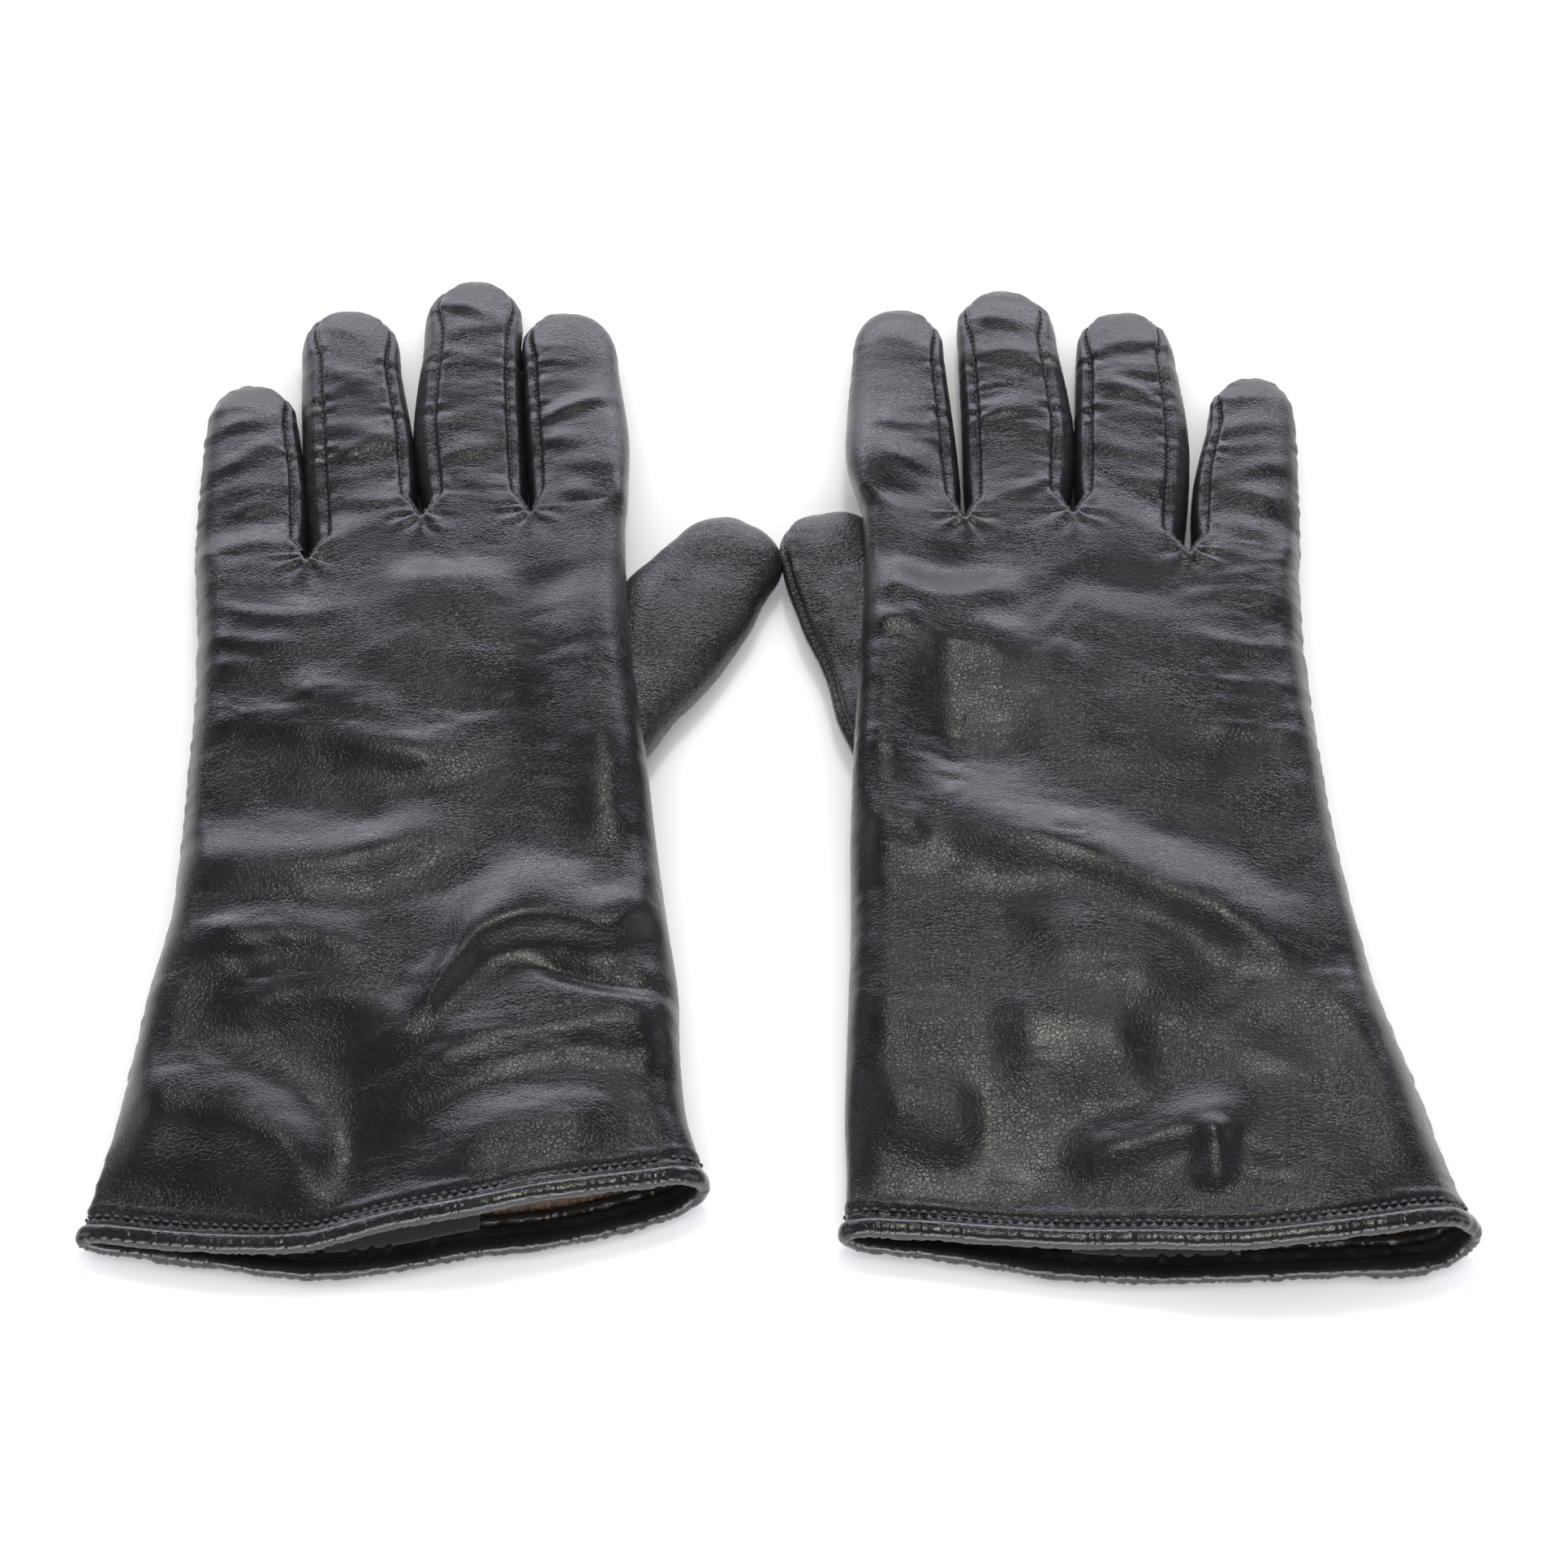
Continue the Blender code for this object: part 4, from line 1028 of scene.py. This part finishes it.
def stitch_run(path, normals, pitch, length, radius, raised):
    """Short rounded threads laid end to end along a path of points."""
    step = np.linalg.norm(np.diff(path, axis=0), axis=1)
    run = np.concatenate([[0], np.cumsum(step)])
    at = np.arange(pitch, run[-1] - pitch * 0.5, pitch)
    here, ahead, up = (
        np.stack([np.interp(at + shift, run, table[:, c]) for c in range(3)], 1)
        for table, shift in ((path, 0.0), (path, 0.4), (normals, 0.0))
    )
    along = ahead - here
    along /= np.maximum(np.linalg.norm(along, axis=1), 1e-9)[:, None]
    up -= along * (up * along).sum(1)[:, None]
    up /= np.maximum(np.linalg.norm(up, axis=1), 1e-9)[:, None]
    across = np.cross(up, along)
    profile = ((-0.5, 0.35), (-0.3, 0.9), (0.0, 1.0), (0.3, 0.9), (0.5, 0.35))
    sides = 6
    rings = []
    for share, fat in profile:
        centre = here + up * (raised - (2 * share) ** 2 * radius) + along * share * length
        for k in range(sides):
            a = 2 * math.pi * k / sides
            rings.append(centre + (across * math.cos(a) + up * math.sin(a)) * radius * fat)
    size = len(rings)
    points = np.stack(rings, 1).reshape(-1, 3)
    pattern = []
    for i in range(len(profile) - 1):
        for k in range(sides):
            h = (k + 1) % sides
            pattern.append((i * sides + k, i * sides + h, (i + 1) * sides + h, (i + 1) * sides + k))
    pattern.append(tuple(range(sides - 1, -1, -1)))
    pattern.append(tuple(range(size - sides, size)))
    faces = [tuple(v + n * size for v in face) for n in range(len(at)) for face in pattern]
    return points, faces


def join_parts(parts):
    points, faces, base = [], [], 0
    for p, f in parts:
        points.append(p)
        faces += [tuple(i + base for i in q) for q in f]
        base += len(p)
    return np.concatenate(points), faces


def thread_piece(skin, name, paths, material, pitch=1.7, raised=0.28):
    """Stitches along vertex paths of a skin, as one piece."""
    parts = []
    for path in paths:
        if len(path) > 4:
            path = np.array(path)
            parts.append(stitch_run(skin.points[path], skin.normals[path], pitch, pitch * 0.72, 0.27, raised))
    points, faces = join_parts(parts)
    return make_object(name, skin.hand, points, faces, material)


# ---------------------------------------------------------------- finishes
class Shader:
    """A material and short calls to add and join its nodes."""

    def __init__(self, name):
        self.material = bpy.data.materials.new(name)
        self.material.use_nodes = True
        self.tree = self.material.node_tree
        self.bsdf = next(n for n in self.tree.nodes if n.type == "BSDF_PRINCIPLED")
        self.rest = self.add("ShaderNodeAttribute")
        self.rest.attribute_name = "rest"

    def add(self, kind, **settings):
        node = self.tree.nodes.new(kind)
        for key, value in settings.items():
            if key.startswith("in_"):
                node.inputs[key[3:].replace("_", " ")].default_value = value
            else:
                setattr(node, key, value)
        return node

    def link(self, a, b):
        self.tree.links.new(a, b)

    def scaled(self, x, y, z):
        node = self.add("ShaderNodeMapping")
        node.inputs["Scale"].default_value = (x, y, z)
        self.link(self.rest.outputs["Vector"], node.inputs["Vector"])
        return node.outputs["Vector"]

    def noise(self, scale, detail, vector=None, rough=0.5):
        node = self.add("ShaderNodeTexNoise", in_Scale=scale, in_Detail=detail, in_Roughness=rough)
        self.link(self.rest.outputs["Vector"] if vector is None else vector, node.inputs["Vector"])
        return node.outputs["Fac"]

    def cells(self, scale, vector, feature="DISTANCE_TO_EDGE"):
        node = self.add("ShaderNodeTexVoronoi", feature=feature, in_Scale=scale)
        self.link(vector, node.inputs["Vector"])
        return node.outputs["Distance"]

    def remap(self, value, a, b, c, d):
        node = self.add("ShaderNodeMapRange")
        for key, number in zip(("From Min", "From Max", "To Min", "To Max"), (a, b, c, d)):
            node.inputs[key].default_value = number
        self.link(value, node.inputs["Value"])
        return node.outputs["Result"]

    def math(self, operation, a, b):
        node = self.add("ShaderNodeMath", operation=operation)
        for k, value in enumerate((a, b)):
            if isinstance(value, (int, float)):
                node.inputs[k].default_value = value
            else:
                self.link(value, node.inputs[k])
        return node.outputs[0]

    def mix(self, fac, a, b):
        node = self.add("ShaderNodeMix", data_type="RGBA")
        self.link(fac, node.inputs["Factor"])
        node.inputs[6].default_value = (*a, 1)
        node.inputs[7].default_value = (*b, 1)
        return node.outputs[2]

    def bump(self, height, distance, strength=1.0, before=None):
        node = self.add("ShaderNodeBump", in_Strength=strength, in_Distance=distance)
        self.link(height, node.inputs["Height"])
        if before is not None:
            self.link(before, node.inputs["Normal"])
        return node.outputs["Normal"]

    def set(self, **values):
        for key, value in values.items():
            slot = self.bsdf.inputs[key.replace("_", " ")]
            if isinstance(value, (int, float, tuple)):
                slot.default_value = value
            else:
                self.link(value, slot)


def leather(name, dark, light, rough, coat, grain):
    """Dyed smooth leather: cell grain, fine creases, patchy sheen and worn high spots."""
    s = Shader(name)
    wander = s.add("ShaderNodeVectorMath", operation="MULTIPLY_ADD")
    jitter = s.add("ShaderNodeTexNoise", in_Scale=0.9, in_Detail=2.0)
    s.link(s.rest.outputs["Vector"], jitter.inputs["Vector"])
    s.link(jitter.outputs["Color"], wander.inputs[0])
    wander.inputs[1].default_value = (0.9, 0.9, 0.9)
    s.link(s.scaled(1.0, 1.25, 1.0), wander.inputs[2])
    coarse = s.remap(s.cells(0.95, wander.outputs[0]), 0.0, 0.20, 0.0, 1.0)
    small = s.remap(s.cells(2.1, wander.outputs[0]), 0.0, 0.20, 0.0, 1.0)
    pebble = s.math("ADD", s.math("MULTIPLY", coarse, 0.78), s.math("MULTIPLY", small, 0.22))
    patch = s.remap(s.noise(0.055, 3.0), 0.35, 0.65, 0.45, 1.0)
    pores = s.noise(5.5, 3.0)
    hair = s.noise(0.7, 4.0, s.scaled(0.7, 1.25, 0.8), 0.6)
    height = s.math("MULTIPLY", s.math("ADD", pebble, s.math("MULTIPLY", pores, 0.35)), patch)
    fine = s.bump(height, 0.000060 * grain, 1.0)
    creased = s.bump(hair, 0.00012, 0.5, fine)
    tone = s.math("ADD", s.noise(0.05, 4.0), s.math("MULTIPLY", pebble, 0.22))
    worn = s.add("ShaderNodeNewGeometry").outputs["Pointiness"]
    wear = s.remap(worn, 0.52, 0.60, 0.0, 0.35)
    s.set(Base_Color=s.mix(s.math("ADD", s.remap(tone, 0.4, 0.85, 0.0, 0.7), wear), dark, light))
    shine = s.math("ADD", s.remap(s.noise(0.09, 4.0), 0.3, 0.7, rough - 0.05, rough + 0.07),
                   s.remap(pebble, 0.0, 1.0, 0.06, 0.0))
    s.set(Roughness=shine, Normal=creased, IOR=1.5, Coat_Weight=coat, Coat_Roughness=0.24, Coat_Normal=fine)
    s.set(Sheen_Weight=0.006, Sheen_Roughness=0.45, Sheen_Tint=(0.75, 0.74, 1.0, 1.0))
    return s.material


def thread(name):
    s = Shader(name)
    twist = s.noise(3.0, 2.0, s.scaled(1.0, 1.0, 1.0))
    s.set(Base_Color=s.mix(twist, (0.02, 0.02, 0.022), (0.07, 0.07, 0.075)), Roughness=0.42)
    s.set(Normal=s.bump(twist, 0.0001, 0.8))
    return s.material


def knit(name):
    s = Shader(name)
    yarn = s.noise(1.6, 4.0, s.scaled(1.0, 0.6, 1.0))
    fuzz = s.noise(6.0, 4.0)
    colour = s.math("ADD", s.math("MULTIPLY", yarn, 0.7), s.math("MULTIPLY", fuzz, 0.3))
    # Brown knit colour, painted lighter (about 1.6 times its own colour): painted light standing in for light that
    # hardly reaches inside the cuff opening.
    s.set(Base_Color=s.mix(s.remap(colour, 0.35, 0.65, 0.0, 1.0), (0.075, 0.045, 0.028), (0.33, 0.22, 0.145)))
    s.set(Roughness=0.9, Sheen_Weight=0.3, Sheen_Roughness=0.5, Normal=s.bump(fuzz, 0.0003, 0.9))
    return s.material


def woven(name):
    s = Shader(name)
    weft = s.add("ShaderNodeTexWave", wave_type="BANDS", bands_direction="Y", in_Scale=1.1, in_Distortion=1.2)
    warp = s.add("ShaderNodeTexWave", wave_type="BANDS", bands_direction="X", in_Scale=1.6, in_Distortion=0.8)
    for node in (weft, warp):
        s.link(s.rest.outputs["Vector"], node.inputs["Vector"])
    weave = s.math("MULTIPLY", weft.outputs["Fac"], warp.outputs["Fac"])
    s.set(Base_Color=s.mix(weave, (0.006, 0.006, 0.008), (0.03, 0.03, 0.036)), Roughness=0.55)
    s.set(Sheen_Weight=0.3, Normal=s.bump(weave, 0.00015, 0.7))
    return s.material


LEATHER = leather("leather", (0.0042, 0.0041, 0.0046), (0.0100, 0.0098, 0.0108), 0.28, 0.25, 0.85)
STRIP = leather("leather_side_strip", (0.0044, 0.0043, 0.0050), (0.0105, 0.0102, 0.0115), 0.30, 0.22, 1.0)
# The thumb's leather: coarser grain and more coat for its grainier gloss, and a base colour a little lighter than the
# main leather, painted highlight for the thumb's gleam.
THUMB_LEATHER = leather("leather_thumb", (0.0050, 0.0049, 0.0052), (0.0120, 0.0118, 0.0122), 0.26, 0.45, 2.0)
EDGE = leather("leather_edge", (0.0060, 0.0059, 0.0058), (0.0140, 0.0138, 0.0136), 0.17, 0.6, 0.55)
THREAD = thread("thread")
KNIT = knit("knit_lining")
WOVEN = woven("woven_label")


# ---------------------------------------------------------------- building the pair
BEND_HALF = {"wrist": 16.0, "mid": 8.0}


def world_point(hand, x, y, z=6.0):
    return tuple(to_world(hand, [[x, y, z]])[0])


def bend_between(item, hand, start, end):
    world_point(hand, *start)
    world_point(hand, *end)
    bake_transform(item)


def finish_piece(item, slot_name, *nodes):
    if nodes:
        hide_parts(*nodes)


STRIP_NODES = {
    "index": ("index_fourchette_little_side",),
    "middle": ("middle_fourchette_thumb_side", "middle_fourchette_little_side"),
    "ring": ("ring_fourchette_thumb_side", "ring_fourchette_little_side"),
    "little": ("little_fourchette_thumb_side",),
}
NEAR_NODES = {
    "index": ("index_proximal",),
    "middle": ("middle_proximal_back", "middle_proximal_palm"),
    "ring": ("ring_proximal_back", "ring_proximal_palm"),
    "little": ("little_proximal",),
}


def build_fingers(hand, skin):
    points = skin.points
    for finger in FINGERS:
        first = skin.seams[finger]["back_index"][0], skin.seams[finger]["back_little"][0]
        base = max(points[v][1] for v in first) + 0.5
        if finger == "index":
            base = max(base, OUTER_Y[hand][0] + 3.5)
        pivot = local(joint_of(f"{finger}_mid_{hand}")["pos_m"], hand)
        near, far = f"{hand}_{finger}_near", f"{hand}_{finger}_far"
        spans = {
            "near": (f"{hand}_hand", near, (pivot[0], base), (pivot[0], base + BEND_REACH)),
            "far": (near, far, (pivot[0], pivot[1] - BEND_HALF["mid"]), (pivot[0], pivot[1] + BEND_HALF["mid"])),
        }
        cut = skin.cuts[finger]
        seams = skin.seams[finger]
        keys = [k for k in ("back_index", "back_little", "palm_little", "palm_index") if seams[k]]
        if finger == "index":
            keys = ["back_little", "palm_little"]
        if finger == "little":
            keys = ["back_index", "palm_index", "outer"]
        for part, label in (("near", "_a"), ("far", "_b")):
            a, b, start, end = spans[part]
            body = skin_piece(skin, f"{finger}_leather_{part}_{hand}", finger + label, False, LEATHER)
            strip = skin_piece(skin, f"{finger}_strip_{part}_{hand}", finger + label, True, STRIP)
            paths = [seams[k][: cut + 1] if part == "near" else seams[k][cut:] for k in keys]
            sewn = thread_piece(skin, f"{finger}_thread_{part}_{hand}", paths, THREAD)
            for item in (body, strip, sewn):
                bend_between(item, hand, start, end)
            finish_piece(sewn, "thread")
            if part == "near":
                finish_piece(body, "leather", *[f"{n}_{hand}" for n in NEAR_NODES[finger]])
                finish_piece(strip, "leather_side_strip", *[f"{n}_{hand}" for n in STRIP_NODES[finger]])
            else:
                finish_piece(body, "leather", f"{finger}_distal_{hand}")
                finish_piece(strip, "leather_side_strip")


def build_hand(hand):
    skin = work_leather(build_skin(hand))
    cuff, palm = f"{hand}_cuff", f"{hand}_hand"
    low, high = (0.0, WRIST_Y - BEND_HALF["wrist"]), (0.0, WRIST_Y + BEND_HALF["wrist"])
    body = skin_piece(skin, f"hand_leather_{hand}", "hand", False, LEATHER)
    bend_between(body, hand, low, high)
    finish_piece(body, "leather", f"trank_hand_{hand}", f"trank_cuff_{hand}")
    side = thread_piece(skin, f"side_seam_thread_visual_{hand}", [skin.side_seam[3 * FINE:-2]], THREAD, raised=0.10)
    bend_between(side, hand, low, high)
    finish_piece(side, "thread", f"side_seam_thread_{hand}")
    lining = make_lining(hand, KNIT)
    bend_between(lining, hand, low, high)
    finish_piece(lining, "knit_lining", f"lining_{hand}")
    build_fingers(hand, skin)

    places = around_places(300 * FINE)
    grid = cuff_grid(hand, places, [HEM_STITCH - 0.5, HEM_STITCH, HEM_STITCH + 0.5])
    loop = np.concatenate([grid[1], grid[1][:1]])
    normal = grid_normals(grid)[1]
    normal = np.concatenate([normal, normal[:1]])
    points, faces = stitch_run(loop, normal, 2.0, 1.5, 0.34, 0.16)
    hem = make_object(f"hem_stitches_{hand}", hand, points, faces, THREAD)
    for item, slot_name, node in (
        (hem, "thread", f"hem_thread_{hand}"),
        (make_binding(hand, EDGE), "leather_edge", f"cuff_binding_{hand}"),
        (make_facing(hand, EDGE), "leather_edge", f"cuff_facing_{hand}"),
        (make_label(hand, WOVEN), "woven_label", f"label_{hand}"),
    ):
        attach(item, cuff)
        finish_piece(item, slot_name, node)

    thumb = build_thumb(hand)
    path = thumb.paths["thumb"][0]
    line = np.array(THUMB[hand]["line"])
    pivot = local(joint_of(f"thumb_mid_{hand}")["pos_m"], hand)
    along = line[3] - line[2]
    along = along / np.linalg.norm(along)
    middle = line[2] + along * ((pivot - line[2]) @ along)
    base = line[1] + (line[2] - line[1]) * 0.04
    for part, label in (("near", "a"), ("far", "b")):
        item = skin_piece(thumb, f"thumb_leather_{part}_{hand}", label, False, THUMB_LEATHER)
        paths = [path[: thumb.cut] if part == "near" else path[thumb.cut - 1:]]
        sewn = thread_piece(thumb, f"thumb_thread_{part}_{hand}", paths, THREAD)
        for piece in (item, sewn):
            if part == "near":
                bend_between(piece, hand, base, base + along * 22.0)
            else:
                bend_between(piece, hand, middle - along * 6.5, middle + along * 6.5)
        finish_piece(item, "leather", f"thumb_base_{hand}" if part == "near" else f"thumb_distal_{hand}")
        if part == "near":
            finish_piece(sewn, "thread", f"thumb_seam_thread_{hand}")
        else:
            finish_piece(sewn, "thread")


for hand_name in ("left", "right"):
    build_hand(hand_name)


# ---------------------------------------------------------------- floor, light and camera
def plain_floor():
    mesh = bpy.data.meshes.new("floor")
    w = 6.0
    mesh.from_pydata([(-w, -w, -0.0006), (w, -w, -0.0006), (w, w, -0.0006), (-w, w, -0.0006)], [], [(0, 1, 2, 3)])
    item = bpy.data.objects.new("floor", mesh)
    bpy.context.scene.collection.objects.link(item)
    material = bpy.data.materials.new("floor")
    material.use_nodes = True
    bsdf = next(n for n in material.node_tree.nodes if n.type == "BSDF_PRINCIPLED")
    bsdf.inputs["Base Color"].default_value = (0.93, 0.93, 0.93, 1)
    bsdf.inputs["Roughness"].default_value = 0.9
    bsdf.inputs["Specular IOR Level"].default_value = 0.1
    # clear when looked at from below, and to the lamp under it, so the palms can be seen
    nodes, links = material.node_tree.nodes, material.node_tree.links
    output = next(n for n in nodes if n.type == "OUTPUT_MATERIAL")
    path, facing = nodes.new("ShaderNodeLightPath"), nodes.new("ShaderNodeNewGeometry")
    either, clear, mixed = (nodes.new(f"ShaderNode{kind}") for kind in ("Math", "BsdfTransparent", "MixShader"))
    either.operation = "MAXIMUM"
    links.new(facing.outputs["Backfacing"], either.inputs[0])
    links.new(path.outputs["Is Shadow Ray"], either.inputs[1])
    links.new(either.outputs[0], mixed.inputs[0])
    links.new(bsdf.outputs[0], mixed.inputs[1])
    links.new(clear.outputs[0], mixed.inputs[2])
    links.new(mixed.outputs[0], output.inputs["Surface"])
    mesh.materials.append(material)


def area_light(name, place, aim, size, power, colour, glossy=True, shape="RECTANGLE"):
    data = bpy.data.lights.new(name, "AREA")
    data.shape = shape
    data.size, data.size_y = size
    data.energy = power
    data.color = colour
    item = bpy.data.objects.new(name, data)
    item.location = place
    item.rotation_euler = (Vector(aim) - Vector(place)).to_track_quat("-Z", "Y").to_euler()
    item.visible_glossy = glossy
    bpy.context.scene.collection.objects.link(item)
    return item


plain_floor()
area_light("wash", (0, 0.1, 2.2), (0, 0, 0), (3.4, 3.4), 54.0, (1.0, 1.0, 1.0), glossy=False)
area_light("back_softbox", (0, 1.87, 0.66), (0, 0, 0.0), (3.0, 0.50), 29.0, (0.88, 0.87, 1.0))
area_light("top_lamp", (0.06, 0.30, 1.25), (0, 0, 0), (0.22, 0.17), 3.3, (1.0, 0.98, 0.90), shape="ELLIPSE")
area_light("front_fill", (0, -1.5, 0.7), (0, 0, 0), (2.2, 0.9), 30.0, (0.95, 0.97, 1.0))
area_light("under_lamp", (0.2, -0.3, -1.2), (0, 0, 0), (1.6, 1.2), 9.0, (1.0, 1.0, 1.0))
area_light("left_side", (-1.7, 0.15, 0.40), (0, 0, 0), (0.8, 1.6), 5.0, (0.85, 0.92, 1.0))
area_light("right_side", (1.7, 0.15, 0.40), (0, 0, 0), (0.8, 1.6), 5.0, (0.85, 0.92, 1.0))

world = bpy.data.worlds.new("studio")
bpy.context.scene.world = world
world.use_nodes = True
background = next(n for n in world.node_tree.nodes if n.type == "BACKGROUND")
background.inputs["Color"].default_value = (0.92, 0.94, 1.0, 1)
background.inputs["Strength"].default_value = 0.06

CAMERA_TILT = 52.0
CAMERA_REACH = 0.9
LOOK_AT = Vector((SHIFT[0] * MM, SHIFT[1] * MM, 0.0))
camera_data = bpy.data.cameras.new("camera")
camera_data.lens = 96.4
camera_data.sensor_width = 36.0
camera = bpy.data.objects.new("camera", camera_data)
tilt = math.radians(CAMERA_TILT)
back = Vector((0.0, -math.cos(tilt), math.sin(tilt)))
camera.location = LOOK_AT + back * CAMERA_REACH
camera.rotation_euler = (-back).to_track_quat("-Z", "Y").to_euler()
bpy.context.scene.collection.objects.link(camera)
bpy.context.scene.camera = camera
bpy.context.scene.view_settings.view_transform = "Standard"

bpy.context.view_layer.update()
